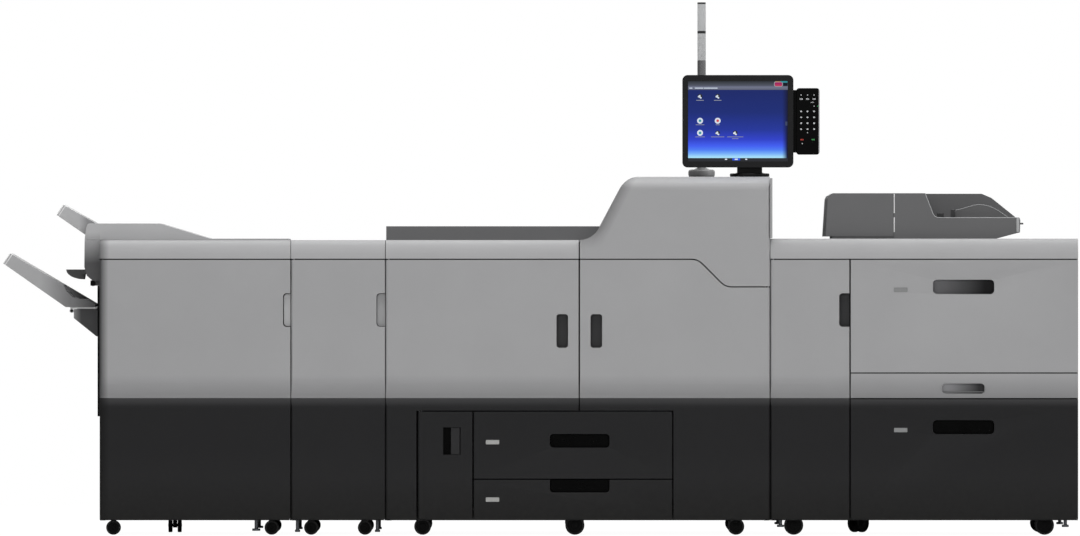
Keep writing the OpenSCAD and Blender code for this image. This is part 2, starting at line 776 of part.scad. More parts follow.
module lower_paper_tray() color(dark_cover) {
    front_pan(tray_x0 + half_seam, tray_x1 - half_seam, door_z0, lower_tray_z1, engine_face, 0,
        [[tray_grip[0], tray_grip[1], lower_tray_z1 - grip_h + seam, lower_tray_z1 + overrun]]);
    bin(bin_x0, bin_x1, plate_top + half_seam + rail_h + run_gap, lower_tray_z1 - bin_low, engine_face);
}

// Print units, standing on the bay roof between their own end plates
unit_inset = 150;
fuser_inset = 110;
fuser_gap = 20;
fuser_w = 190;
unit_x0 = engine_x0 + unit_inset;
unit_w = engine_w - unit_inset - fuser_gap - fuser_w - fuser_inset;
unit_y0 = engine_frame_y + 24;
unit_d = 500;
unit_t = 4;
belt_r = 34;
belt_t = 2;
belt_z = roof_z + sheet + 110;
belt_inset = 60;
transfer_h = 180;
imaging_h = 300;
drum_r = 36;
shaft_r = 8;
drum_n = 4;
unit_x1 = unit_x0 + unit_w;
unit_y1 = unit_y0 + unit_d;
unit_z0 = roof_z + sheet + joint_line;
unit_z1 = unit_z0 + transfer_h;
unit_top = unit_z1 + imaging_h;
module end_plates(x0, x1, z0, z1) {
    for (y = [unit_y0, unit_y1 - unit_t]) block([x0, y, z0], [x1, y + unit_t, z1]);
}

module transfer_unit() color(black_part) {
    end_plates(unit_x0, unit_x1, unit_z0, unit_z1 - joint_line);
    y0 = unit_y0 + unit_t + run_gap;
    y1 = unit_y1 - unit_t - run_gap;
    for (x = [unit_x0 + belt_inset, unit_x1 - belt_inset]) {
        bar_y([x, y0, belt_z], belt_r - joint_line, y1 - y0);
        bar_y([x, unit_y0, belt_z], shaft_r, unit_d);
    }
    difference() {
        along_y(y0, y1) belt_loop(belt_r + belt_t);
        along_y(y0 - overrun, y1 + overrun) belt_loop(belt_r);
    }
}

module belt_loop(r) {
    for (x = [unit_x0 + belt_inset, unit_x1 - belt_inset]) translate([x, belt_z]) circle(r = r);
    translate([unit_x0 + belt_inset, belt_z - r]) square([unit_w - 2 * belt_inset, 2 * r]);
}

module imaging_unit() color(dark_cover) {
    end_plates(unit_x0, unit_x1, unit_z1, unit_top);
    y0 = unit_y0 + unit_t + joint_line;
    y1 = unit_y1 - unit_t - joint_line;
    pitch = unit_w / drum_n;
    for (i = [0:drum_n - 1]) {
        x = unit_x0 + pitch * (i + 1 / 2);
        bar_y([x, y0, unit_z1 + drum_r], drum_r, y1 - y0);
        bar_y([x, unit_y0, unit_z1 + drum_r], shaft_r, unit_d);
    }
    block([unit_x0 + unit_t, y0, unit_z1 + 3 * drum_r], [unit_x1 - unit_t, y1, unit_top - unit_t]);
}

// Fuser: case halves over and under two rollers
fuser_r = 32;
fuser_case = 60;
fuser_x0 = unit_x1 + fuser_gap;
fuser_x1 = fuser_x0 + fuser_w;
fuser_z = unit_z0 + fuser_case + 2 * fuser_r + nip_half;
fuser_z1 = fuser_z + 2 * fuser_r + fuser_case;
module fuser_unit() color(black_part) {
    end_plates(fuser_x0, fuser_x1, unit_z0, fuser_z1);
    x = (fuser_x0 + fuser_x1) / 2;
    y0 = unit_y0 + unit_t + joint_line;
    y1 = unit_y1 - unit_t - joint_line;
    for (s = [-1, 1]) {
        bar_y([x, y0, fuser_z + s * (fuser_r + nip_half / 2)], fuser_r, y1 - y0);
        bar_y([x, unit_y0, fuser_z + s * (fuser_r + nip_half / 2)], shaft_r, unit_d);
    }
    block([fuser_x0, y0, unit_z0], [fuser_x1, y1, unit_z0 + fuser_case - overrun]);
    block([fuser_x0, y0, fuser_z1 - fuser_case + overrun], [fuser_x1, y1, fuser_z1]);
}

// Power supply with its mains inlet and three contact pins
contact_w = 2;
contact_h = 8;
contact_step = 9;
contact_rise = 4;
contact_set = 6;
module power_unit() color(black_part) {
    block([power_x0, power_y0, plate_top + joint_line],
        [power_x0 + power_w, inlet_y0 - joint_line, plate_top + power_h]);
    difference() {
        block([inlet_x0, inlet_y0, inlet_z0], [inlet_x1, engine_back, inlet_z1]);
        block([inlet_x - inlet_w / 2, engine_back - inlet_deep, inlet_z - inlet_h / 2],
            [inlet_x + inlet_w / 2, engine_back + overrun, inlet_z + inlet_h / 2]);
    }
    for (i = [-1:1]) translate([inlet_x + i * contact_step, 0, inlet_z + (1 - abs(i)) * contact_rise])
        block([-contact_w / 2, engine_back - inlet_deep + joint_line, -contact_h / 2],
            [contact_w / 2, engine_back - contact_set, contact_h / 2]);
}

// Operating panel on its stand
stand_inset = 68;
stand_set = 125;
dome_r = 68;
dome_h = 12;
spigot_r = 18;
neck_w = 86;
neck_d = 48;
tilt_rise = 68;
tilt_lead = 15;
ear_r = 12;
ear_t = 8;
tilt_pin_r = 5;
panel_shift = 41;
panel_off = 30;
stand_x = engine_x1 - stand_inset;
stand_y = engine_face + stand_set;
neck_z0 = hump_top + dome_h + run_gap;
tilt_y = stand_y - tilt_lead;
tilt_z = hump_top + tilt_rise;
panel_x0 = stand_x - panel_shift - panel_w / 2;
panel_x1 = panel_x0 + panel_w;
panel_z0 = hump_top + panel_lift;
panel_back = stand_y - panel_off;
panel_front = panel_back - panel_t;
panel_bevel = 18;
screen_skin = 2;
module panel_stand() color(black_part) {
    bar_z([stand_x, stand_y, hump_top], dome_r, dome_h);
    bar_z([stand_x, stand_y, hump_top], spigot_r, dome_h + tilt_rise / 2);
}

module panel_neck() color(black_part) {
    y0 = stand_y - neck_d / 2;
    y1 = stand_y + neck_d / 2;
    top = tilt_z - ear_r - run_gap;
    difference() {
        block([stand_x - neck_w / 2, y0, neck_z0], [stand_x + neck_w / 2, y1, top]);
        bar_z([stand_x, stand_y, neck_z0 - overrun], spigot_r + pin_clear, dome_h + tilt_rise);
    }
    for (s = [-1, 1]) translate([stand_x + s * (neck_w - ear_t) / 2, 0, 0]) {
        bar_x([-ear_t / 2, tilt_y, tilt_z], ear_r, ear_t);
        block([-ear_t / 2, tilt_y - ear_r, top - overrun], [ear_t / 2, tilt_y + ear_r, tilt_z]);
    }
    bar_x([stand_x - neck_w / 2, tilt_y, tilt_z], tilt_pin_r, neck_w);
}

// Housing with a window for the screen, and two lugs on the tilt pin
lug_w = 20;
screen_x0 = panel_x0 + (panel_w - screen_w) / 2;
screen_x1 = screen_x0 + screen_w;
screen_z0 = panel_z0 + (panel_h - screen_h) / 2;
screen_z1 = screen_z0 + screen_h;
module panel_housing() color(black_part) {
    lug_x = neck_w / 2 - ear_t - run_gap - lug_w;
    difference() {
        along_y(panel_front, panel_back)
            round_rect([panel_x0, panel_z0], [panel_x1, panel_z0 + panel_h], panel_bevel);
        block([screen_x0, panel_front - overrun, screen_z0], [screen_x1, panel_front + skin, screen_z1]);
    }
    for (x = [stand_x - lug_x - lug_w, stand_x + lug_x]) difference() {
        union() {
            bar_x([x, tilt_y, tilt_z], ear_r - overrun, lug_w);
            block([x, panel_back - overrun, tilt_z - ear_r + overrun],
                [x + lug_w, tilt_y, tilt_z + ear_r - overrun]);
        }
        bar_x([x - overrun, tilt_y, tilt_z], tilt_pin_r + pin_clear, lug_w + 2 * overrun);
    }
}

module panel_screen() color(screen_blue) {
    block([screen_x0 + joint_line, panel_front + skin - screen_skin, screen_z0 + joint_line],
        [screen_x1 - joint_line, panel_front + skin - joint_line, screen_z1 - joint_line]);
}

// Key pad beside the screen, on a short link
keypad_link = 10;
keypad_t = 30;
keypad_bevel = 10;
keypad_low = 44;
module keypad() color(black_part) {
    x0 = panel_x1 + keypad_link;
    z0 = panel_z0 + keypad_low;
    along_y(panel_front + screen_skin, panel_front + screen_skin + keypad_t)
        round_rect([x0, z0], [x0 + keypad_w, z0 + keypad_h], keypad_bevel);
    block([panel_x1 + joint_line, panel_front + keypad_link, z0 + keypad_h / 3],
        [x0 + overrun, panel_front + 2 * keypad_link, z0 + keypad_h * 2 / 3]);
}

// Signal light on its pole, behind the panel
beacon_shift = 163;
beacon_off = 260;
beacon_foot_r = 46;
beacon_foot_h = 27;
lens_h = 93;
ring_h = 9;
cap_h = 6;
core_r = 6;
beacon_x = stand_x - beacon_shift;
beacon_y = stand_y + beacon_off;
lens_z0 = hump_top + beacon_h - 2 * lens_h - ring_h - cap_h;
module beacon_base() color(black_part) {
    difference() {
        bar_z([beacon_x, beacon_y, hump_top], beacon_foot_r, beacon_foot_h);
        bar_z([beacon_x, beacon_y, hump_top + skin], beacon_r + joint_line, beacon_foot_h);
    }
}

module beacon_pole() color(black_part) {
    low = hump_top + skin + joint_line;
    bar_z([beacon_x, beacon_y, low], beacon_r, lens_z0 - low);
    bar_z([beacon_x, beacon_y, low], core_r, hump_top + beacon_h - low);
    bar_z([beacon_x, beacon_y, lens_z0 + lens_h], beacon_r, ring_h);
    bar_z([beacon_x, beacon_y, hump_top + beacon_h - cap_h], beacon_r, cap_h);
}

module beacon_lenses() color(lens_clear) {
    for (z = [lens_z0, lens_z0 + lens_h + ring_h]) difference() {
        bar_z([beacon_x, beacon_y, z + joint_line], beacon_r - joint_line, lens_h - 2 * joint_line);
        bar_z([beacon_x, beacon_y, z], core_r + joint_line, lens_h);
    }
}

// Finisher: cabinet, hood, outlet head, trays
hood_set = 60;
hood_rear = 44;
flange_h = 5;
flange_rim = 8;
hood_y0 = module_face + hood_set;
hood_y1 = module_back - hood_rear;
hood_z0 = cabinet_top + run_gap;
hood_hinge_share = [0.1, 0.5];
hinge_xs = [for (p = hood_hinge_share) finisher_x0 + p * hood_l];
module finisher_frame() color(light_cover) {
    carcass(finisher_x0, finisher_x1, module_face, module_back, cabinet_top, true, true);
    lip(finisher_x0, finisher_x1, module_face, lip_z, cabinet_top, [finisher_x0 + corner_r]);
    block([finisher_x0, module_face + frame_set, cabinet_top - sheet],
        [finisher_x1, module_back, cabinet_top]);
    foot_bracket(finisher_x0 + corner_r, 1, module_face);
    docking(pass_x0, waist_z);
    for (x = hinge_xs) hinge_stand(x, hood_y1 + hinge_reach, cabinet_top);
}

// Hood outline: rounded nose, flat top, slope and a thin flange to the right
nose_share = [[-0.98, 0], [-0.95, 0.3], [-0.88, 0.75], [-0.8, 0.93], [-0.66, 1]];
flat_share = 0.546;
hood_line = concat(
    [for (p = nose_share) [finisher_x0 + p[0] * head_overhang, hood_z0 + p[1] * hood_h]],
    [[finisher_x0 + hood_l * flat_share, hood_z0 + hood_h], [finisher_x0 + hood_l, hood_z0 + flange_h],
        [finisher_x1 - flange_rim, hood_z0 + flange_h], [finisher_x1 - flange_rim, hood_z0]]);
module finisher_hood() color(light_cover) {
    difference() {
        along_y(hood_y0, hood_y1) polygon(hood_line);
        intersection() {
            along_y(hood_y0 + skin, hood_y1 - skin) translate([0, -skin]) polygon(hood_line);
            block([finisher_x0 - head_overhang + 2 * skin, hood_y0, hood_z0 - overrun],
                [finisher_x1 - flange_rim - skin, hood_y1, hood_z0 + hood_h]);
        }
    }
    for (x = hinge_xs) lid_knuckle(x, hood_y1 + hinge_reach, cabinet_top);
}

// Outlet head on the finisher's left side, with the seats of its flap and roller
head_share = [[-0.98, 1], [-1, 0.34], [-0.83, 0.12], [-0.46, 0], [0, 0], [0, 1]];
head_x1 = finisher_x0 - joint_line;
head_line = [for (p = head_share)
    [head_x1 + p[0] * head_overhang, path_z + p[1] * (cabinet_top - path_z)]];
flap_l = 60;
flap_h = 34;
flap_w = 70;
flap_off = 8;
flap_rise = 31;
flap_pin_r = 4;
flap_ear_t = 5;
flap_reach = 110;
flap_x = finisher_x0 - head_overhang - flap_off;
flap_z = path_z + flap_rise;
exit_r = 8;
exit_off = 24;
exit_pin_r = 4;
exit_seat = 36;
exit_x = finisher_x0 - exit_off;
exit_z = path_z - nip_half - exit_r;
module exit_head() color(dark_cover) {
    difference() {
        along_y(hood_y0, hood_y1) polygon(head_line);
        intersection() {
            along_y(hood_y0 + skin, hood_y1 - skin) translate([skin, 0]) polygon(head_line);
            block([finisher_x0 - head_overhang, hood_y0, path_z + skin],
                [finisher_x0, hood_y1, cabinet_top - skin]);
        }
    }
    for (y = [module_mid - flap_reach - flap_ear_t, module_mid + flap_reach]) difference() {
        block([flap_x - flap_off, y, flap_z - flap_off],
            [head_x1 - head_overhang * 3 / 4, y + flap_ear_t, flap_z + flap_off]);
        bar_y([flap_x, y - overrun, flap_z], flap_pin_r + pin_clear, flap_ear_t + 2 * overrun);
    }
    for (y = [slot_y0 - sheet, slot_y1]) difference() {
        block([finisher_x0 - exit_seat, y, exit_z - exit_r], [head_x1, y + sheet, path_z + skin / 2]);
        bar_y([exit_x, y - overrun, exit_z], exit_pin_r + pin_clear, sheet + 2 * overrun);
    }
}

// Flap over the stack: curved paddles on one shaft
module exit_flap() color(black_part) {
    bar_y([flap_x, module_mid - flap_reach - flap_ear_t, flap_z], flap_pin_r, 2 * (flap_reach + flap_ear_t));
    for (y = [module_mid - flap_reach + run_gap, module_mid + flap_reach - run_gap - flap_w])
        along_y(y, y + flap_w) polygon(concat(
            [[flap_x + flap_pin_r, flap_z - flap_pin_r], [flap_x + flap_pin_r, flap_z + flap_off]],
            [for (i = [0:arc_steps]) let (a = 180 + 90 * i / arc_steps)
                [flap_x + flap_l * cos(a), flap_z + flap_off + flap_h * sin(a)]]));
}

module exit_roller() color(black_part) {
    bar_y([exit_x, slot_y0 + run_gap, exit_z], exit_r, slot_l - 2 * run_gap);
    bar_y([exit_x, slot_y0 - sheet, exit_z], exit_pin_r, slot_l + 2 * sheet);
}

// Output trays: shells closed above and open below
out_y0 = module_mid - out_tray_w / 2;
out_y1 = module_mid + out_tray_w / 2;
proof_reach = 154;
proof_rise = 123;
proof_share = [[-0.844, 1], [-1, 0.713], [-0.349, 0.149], [0.1, 0.149], [0.1, 0.355], [-0.097, 0.462]];
proof_line = [for (p = proof_share) [finisher_x0 + p[0] * proof_reach, cabinet_top + p[1] * proof_rise]];
module proof_tray() color(light_cover) {
    difference() {
        along_y(out_y0, out_y1) polygon(proof_line);
        along_y(out_y0 + skin, out_y1 - skin) translate([skin, -2 * skin]) polygon(proof_line);
        along_y(out_y0 - overrun, out_y1 + overrun) polygon(hood_line);
    }
}

toe_share = 0.36;
heel_share = 0.06;
tray_share = [[-0.929, 1], [-1, 0.813], [-toe_share, 0], [-heel_share, 0], [-heel_share, 0.066]];
scoop_share = [[-0.36, 0.6], [-0.388, 0.44], [-0.357, 0.315], [-0.296, 0.191], [-0.227, 0.151],
    [-0.157, 0.149], [-heel_share, 0.085], [0, 0.2]];
scoop_rear = 60;
tray_line_xz = [for (p = tray_share) [finisher_x0 + p[0] * tray_reach, tray_base_z + p[1] * tray_rise]];
scoop_line = [for (p = scoop_share) [finisher_x0 + p[0] * tray_reach, tray_base_z + p[1] * tray_rise]];
module scooped_tray(y0, y1) {
    difference() {
        along_y(y0, y1) polygon(tray_line_xz);
        along_y(out_y0 - overrun, out_y1 - scoop_rear) polygon(scoop_line);
    }
}

module shift_tray() color(light_cover) {
    difference() {
        scooped_tray(out_y0, out_y1);
        translate([skin, 0, -2 * skin]) scooped_tray(out_y0 + skin, out_y1 - skin);
    }
    block([finisher_x0 - tray_reach * toe_share, out_y0 + skin / 2, tray_base_z],
        [finisher_x0 - tray_reach * heel_share, out_y1 - skin / 2, tray_base_z + skin]);
}

// Carriage that rides up and down on two rails
rail_t = 13;
rail_half = 12;
rail_off = 110;
groove_half = 5;
groove_d = 10;
rail_low = 406;
rail_top = path_z - 2 * exit_r - feed_r;
carriage_l = 82;
carriage_h = 94;
carriage_nose = 31;
carriage_t = 4;
knob_r = 6;
knob_l = 24;
slide_w = 66;
slide_seat = 7;
rail_x = finisher_x0 - joint_line - rail_t;
carriage_x1 = rail_x - run_gap;
carriage_x0 = carriage_x1 - carriage_l;
carriage_top = tray_base_z - slide_seat;
module tray_carriage() color(dark_cover) {
    side = [[carriage_x0, carriage_top], [carriage_x0, carriage_top - carriage_nose],
        [carriage_x1 - carriage_t, carriage_top - carriage_h], [carriage_x1, carriage_top - carriage_h],
        [carriage_x1, carriage_top]];
    for (y = [module_mid - rail_off, module_mid + rail_off - carriage_t])
        along_y(y, y + carriage_t) polygon(side);
    block([carriage_x0, module_mid - rail_off, carriage_top - carriage_t],
        [carriage_x1, module_mid + rail_off, carriage_top]);
    block([carriage_x1 - carriage_t, module_mid - rail_off, carriage_top - carriage_h],
        [carriage_x1, module_mid + rail_off, carriage_top]);
    block([carriage_x1 - carriage_t - slide_w, module_mid - rail_off, carriage_top - overrun],
        [carriage_x1 - carriage_t, module_mid + rail_off, tray_base_z - run_gap]);
    for (y = [module_mid - rail_off, module_mid + rail_off])
        block([carriage_x1 - carriage_t, y - groove_half + run_gap, carriage_top - carriage_h],
            [rail_x + groove_d - run_gap, y + groove_half - run_gap, carriage_top]);
    bar_y([carriage_x0 - knob_r + overrun, module_mid - rail_off, carriage_top - knob_r], knob_r, knob_l);
}

module lift_rails() color(black_part) {
    for (y = [module_mid - rail_off, module_mid + rail_off]) difference() {
        block([rail_x, y - rail_half, rail_low], [rail_x + rail_t, y + rail_half, rail_top]);
        block([rail_x - overrun, y - groove_half, rail_low - overrun],
            [rail_x + groove_d, y + groove_half, rail_top + overrun]);
    }
}

// Stapling table between two plates, with its stapler at the lower end
staple_tray_l = 300;
staple_tilt = 25;
staple_drop = 210;
stapler_w = 90;
stapler_d = 80;
stapler_h = 70;
table_inset = 80;
module stapler_unit() color(steel) {
    x0 = finisher_x0 + sheet;
    x1 = finisher_x1 - sheet;
    y0 = slot_y0 - feed_side;
    y1 = slot_y1 + feed_side;
    table = [x0 + table_inset, 0, path_z - staple_drop];
    feed_rollers(x0, x1, [x0 + finisher_w / 3, x0 + finisher_w * 2 / 3], plate_top + joint_line);
    translate(table) rotate([0, -staple_tilt, 0])
        block([0, y0 + sheet + joint_line, 0], [staple_tray_l, y1 - sheet - joint_line, sheet]);
    translate(table) rotate([0, -staple_tilt, 0])
        block([0, y0 + sheet + joint_line, -stapler_h], [stapler_w, y0 + stapler_d, -joint_line]);
}

// Height of the edge pockets' lower edge over that of the engine doors' pockets
edge_pocket_rise = 72;
edge_z = pocket_z + edge_pocket_rise;

// Door with its hinge at the left and a pocket at its free edge
module edge_door(x0, x1, face) {
    front_pan(x0, x1, door_z0, door_z1, face, -1,
        [[x1 - edge_pocket_w, x1 + overrun, edge_z, edge_z + pocket_h]]);
    pin_below(x0 + corner_r, face, door_z0);
    pin_above(x0 + corner_r, face, door_z1);
}

module finisher_door() color(light_cover) edge_door(finisher_x0, finisher_x1, module_face);
module pass_door() color(light_cover) edge_door(pass_x0, pass_x1, module_face);
module feeder_door() color(light_cover) edge_door(feeder_x0, part_x - half_seam, module_face);

module pass_frame() color(light_cover) {
    carcass(pass_x0, pass_x1, module_face, module_back, cabinet_top, true, true);
    lip(pass_x0, pass_x1, module_face, lip_z, cabinet_top, [pass_x0 + corner_r]);
    block([pass_x0, module_face + frame_set, cabinet_top - sheet], [pass_x1, module_back, cabinet_top]);
    foot_bracket(pass_x0 + corner_r, 1, module_face);
    docking(engine_x0, waist_z);
    feed_rollers(pass_x0 + sheet, pass_x1 - sheet, [pass_x0 + pass_w / 3, pass_x0 + pass_w * 2 / 3],
        plate_top + joint_line);
}

// Feeder: cabinet with its partition, rails and drawers
part_x = feeder_x0 + feeder_door_w;
drawer_x0 = part_x + sheet / 2 + run_gap;
drawer_x1 = feeder_x1 - sheet - run_gap;
lower_line = waist_z - half_seam;
lower_rail_z = plate_top + half_seam;
middle_rail_z = lower_line + half_seam + skin;
upper_rail_z = upper_line + half_seam + skin;
module feeder_frame() color(light_cover) {
    carcass(feeder_x0, feeder_x1, module_face, module_back, feeder_top, true, false);
    foot_bracket(feeder_x0 + corner_r, 1, module_face);
    docking(feeder_x0, waist_z);
    feed_rollers(feeder_x0 + sheet, part_x - sheet / 2,
        [feeder_x0 + feeder_door_w / 3, feeder_x0 + feeder_door_w * 2 / 3], plate_top + joint_line);
    block([part_x - sheet / 2, module_face + frame_set, plate_top + joint_line],
        [part_x + sheet / 2, module_back - sheet - joint_line, feeder_top - sheet - joint_line]);
    for (z = [lower_rail_z, middle_rail_z, upper_rail_z])
        bin_rails(part_x + sheet / 2, feeder_x1 - sheet, z, module_face);
}

module feeder_drawer(z0, z1, grip_z, grip_x, grip_l, rail_z, bin_top) {
    front_pan(part_x + half_seam, feeder_x1, z0, z1, module_face, 0,
        [[grip_x - grip_l / 2, grip_x + grip_l / 2, grip_z[0], grip_z[1]]]);
    bin(drawer_x0, drawer_x1, rail_z + rail_h + run_gap, bin_top, module_face);
}
drawer_mid = (part_x + half_seam + feeder_x1) / 2;
upper_grip_drop = 70;
middle_grip_drop = 36;
lower_grip_drop = 74;
module feeder_upper_drawer() color(light_cover) {
    top = door_z1 - upper_grip_drop;
    feeder_drawer(upper_line + half_seam, door_z1, [top - grip_h, top], drawer_mid, grip_w,
        upper_rail_z, door_z1 - bin_head);
}
module feeder_middle_drawer() color(light_cover) {
    top = upper_line - middle_grip_drop;
    feeder_drawer(lower_line + half_seam, upper_line - half_seam, [top - small_grip_h, top], drawer_mid,
        small_grip_w, middle_rail_z, upper_line - half_seam - bin_low);
}
module feeder_lower_drawer() color(dark_cover) {
    top = lower_line - lower_grip_drop;
    feeder_drawer(door_z0, lower_line - half_seam, [top - grip_h, top], drawer_mid, grip_w,
        lower_rail_z, lower_line - half_seam - bin_low);
}

// Feeder's top with the scanner glass under the document feeder
doc_set = 60;
glass_w = 430;
glass_d = 300;
glass_inset = 110;
glass_set = 90;
glass_rim = 12;
doc_x1 = feeder_x1 - document_inset;
doc_x0 = doc_x1 - document_w;
doc_y0 = module_face + doc_set;
doc_y1 = doc_y0 + document_d;
doc_z0 = feeder_top + run_gap;
glass_x0 = doc_x0 + glass_inset;
glass_y0 = doc_y0 + glass_set;
glass_low = [glass_x0, glass_y0, feeder_top - sheet];
glass_high = [glass_x0 + glass_w, glass_y0 + glass_d, feeder_top];
lid_hinge_y = doc_y1 + hinge_reach;
lid_hinge_share = [0.45, 0.85];
lid_hinge_xs = [for (p = lid_hinge_share) doc_x0 + p * document_w];
module feeder_top_cover() color(light_cover) {
    lip(feeder_x0, feeder_x1, module_face, lip_z, feeder_top, [feeder_x0 + corner_r]);
    difference() {
        block([feeder_x0, module_face + frame_set, feeder_top - sheet], [feeder_x1, module_back, feeder_top]);
        block(glass_low - [joint_line, joint_line, overrun], glass_high + [joint_line, joint_line, overrun]);
    }
    for (x = [glass_low[0] - glass_rim, glass_high[0] - glass_rim])
        block([x, glass_low[1], glass_low[2] - sheet], [x + 2 * glass_rim, glass_high[1], glass_low[2]]);
    for (x = lid_hinge_xs) hinge_stand(x, lid_hinge_y, feeder_top);
}

module platen_glass() color(lens_clear) {
    block(glass_low, glass_high);
}

// Document feeder's outline from its lower left corner, as shares of its width and height
body_share = 0.355;
bed_share = 0.455;
throat_share = 0.5;
doc_share = [[body_share, 0], [body_share, 1], [0.819, 1], [0.869, 0.908], [0.995, 0.471], [1, 0.407],
    [0.998, 0.136], [0.88, 0]];
cover_share = [[0, 0.05], [0.012, 0.863], [0.019, 0.94], [0.043, 1], [0.353, 1], [0.353, 0.05]];
mouth_share = [[0.5136, 1.01], [0.547, 0.624], [0.56, 0.51], [0.577, bed_share], [1.01, bed_share],
    [1.01, 1.01]];
function doc_points(shares) = [for (p = shares) [doc_x0 + p[0] * document_w, doc_z0 + p[1] * document_h]];
doc_wall = 6;
doc_rear = 60;
doc_end_share = 0.96;
tray_start_share = 0.6;
bed_z = doc_z0 + bed_share * document_h;
body_x0 = doc_x0 + body_share * document_w;
throat_x = doc_x0 + throat_share * document_w;
tray_end_x = doc_x0 + doc_end_share * document_w;
pick_share = [[0.12, 0.3], [0.27, 0.35]];
cover_axis = 13;
cover_lift = 17;
cover_pin_x = doc_x0 + cover_axis;
cover_pin_z = doc_z0 + cover_lift;
cover_pin_r = 3;
cover_ear_r = 6;
wall_in = 1;
tray_pin_r = 3;
tray_pin_x = doc_x0 + tray_start_share * document_w;
tray_pin_z = bed_z - 2 * tray_pin_r;
pick_r = 16;
stopper_r = 3;
stopper_l = 17;
module document_feeder() color(deck_grey) {
    ear_y = doc_y0 + skin + run_gap;
    difference() {
        along_y(doc_y0, doc_y1) polygon(doc_points(doc_share));
        along_y(doc_y0 - overrun, doc_y1 - doc_rear) polygon(doc_points(mouth_share));
        block([doc_x0, doc_y0 + doc_wall, doc_z0 + doc_wall],
            [throat_x, doc_y1 - doc_wall, doc_z0 + document_h - doc_wall]);
        block([throat_x + doc_wall, doc_y0 + doc_wall, doc_z0 + doc_wall],
            [tray_end_x, doc_y1 - doc_rear, bed_z + overrun]);
        for (y = [doc_y0 + 2 * wall_in, doc_y1 - doc_rear - overrun])
            bar_y([tray_pin_x, y, tray_pin_z], tray_pin_r + pin_clear, doc_wall);
    }
    for (y = [ear_y, doc_y1 - skin - run_gap - sheet]) {
        bar_y([cover_pin_x, y, cover_pin_z], cover_ear_r, sheet);
        block([cover_pin_x, y, cover_pin_z - cover_ear_r],
            [doc_x0 + 4 * cover_axis, y + sheet, cover_pin_z + cover_ear_r]);
        block([doc_x0 + 2 * cover_axis, y, doc_z0], [body_x0 + overrun, y + sheet, doc_z0 + document_h / 2]);
    }
    for (y = [doc_y0 + wall_in + pin_clear, doc_y1 - skin - run_gap - sheet])
        bar_y([cover_pin_x, y, cover_pin_z], cover_pin_r, skin + sheet + run_gap - wall_in - pin_clear);
    block([doc_x0 + 2 * cover_axis, ear_y, doc_z0],
        [body_x0 + overrun, doc_y1 - skin - run_gap, doc_z0 + skin]);
    for (p = doc_points(pick_share))
        bar_y([p[0], ear_y, p[1]], pick_r, document_d - 2 * skin - 2 * run_gap);
    for (x = lid_hinge_xs) lid_knuckle(x, lid_hinge_y, feeder_top);
    bar_x([doc_x1 - 2 * overrun, (doc_y0 + doc_y1) / 2, doc_z0 + document_h / 3], stopper_r,
        stopper_l + 2 * overrun);
}

module document_cover() color(deck_grey) {
    difference() {
        along_y(doc_y0, doc_y1) polygon(doc_points(cover_share));
        intersection() {
            along_y(doc_y0 + skin, doc_y1 - skin) translate([0, -skin]) polygon(doc_points(cover_share));
            block([doc_x0 + 2 * skin, doc_y0, feeder_top - skin], [doc_x1, doc_y1, doc_z0 + document_h]);
        }
        for (y = [doc_y0 + wall_in, doc_y1 - skin - overrun])
            bar_y([cover_pin_x, y, cover_pin_z], cover_pin_r + pin_clear, skin + overrun - wall_in);
    }
}

// Document tray on its pins, with two side guides
guide_share = [[0.667, bed_share], [0.667, 0.62], [0.779, 0.69], [0.839, 0.675], [0.9, 0.57],
    [0.935, bed_share]];
guide_t = 5;
guide_set = 70;
tray_t = 6;
module document_tray() color(dark_cover) {
    y0 = doc_y0 + doc_wall + run_gap;
    y1 = doc_y1 - doc_rear - run_gap;
    block([tray_pin_x, y0, bed_z - tray_t], [tray_end_x - run_gap, y1, bed_z - joint_line]);
    bar_y([tray_pin_x, y0, tray_pin_z], 2 * tray_pin_r - joint_line, y1 - y0);
    bar_y([tray_pin_x, doc_y0 + 2 * wall_in + pin_clear, tray_pin_z], tray_pin_r,
        y1 - y0 + 2 * (doc_wall - 2 * wall_in));
    for (y = [y0 + guide_set, y1 - guide_set - guide_t])
        along_y(y, y + guide_t) polygon([for (p = doc_points(guide_share)) p - [0, skin]]);
}

// Casters: fork, swivel and plate, and the pair of wheels on each
axle_r = 5;
fork_half = 9;
fork_clear = 1.5;
swivel_r = 20;
swivel_h = 6;
plate_half = 34;
plate_th = 4;
plate_under = plate_z - joint_line;
row_set = 80;
module fork(x, y, r, turn) {
    half = wheel_gap / 2 - fork_clear;
    reach = wheel_gap / 2 + wheel_w + overrun;
    translate([x, y, 0]) rotate([0, 0, turn]) {
        bar_y([0, -half, r], fork_half, 2 * half);
        block([-fork_half, -half, r], [fork_half, half, plate_under - plate_th]);
        bar_y([0, -reach, r], axle_r, 2 * reach);
        bar_z([0, 0, plate_under - plate_th - swivel_h], swivel_r, swivel_h);
        block([-plate_half, -plate_half, plate_under - plate_th], [plate_half, plate_half, plate_under]);
    }
}

module twin_wheel(x, y, r, turn) {
    rim = wheel_w / 5;
    translate([x, y, r]) rotate([0, 0, turn]) for (s = [-1, 1])
        translate([0, s * (wheel_gap + wheel_w) / 2 - wheel_w / 2, 0]) rotate([-90, 0, 0]) rotate_extrude()
            polygon([[axle_r + pin_clear, 0], [r - rim, 0], [r, rim], [r, wheel_w - rim], [r - rim, wheel_w],
                [axle_r + pin_clear, wheel_w]]);
}

module_rows = [module_face + row_set, module_back - row_set];
engine_rows = [engine_face + row_set, engine_back - row_set];
front_row = [module_rows[0]];
rear_row = [module_rows[1]];
skew = 50;
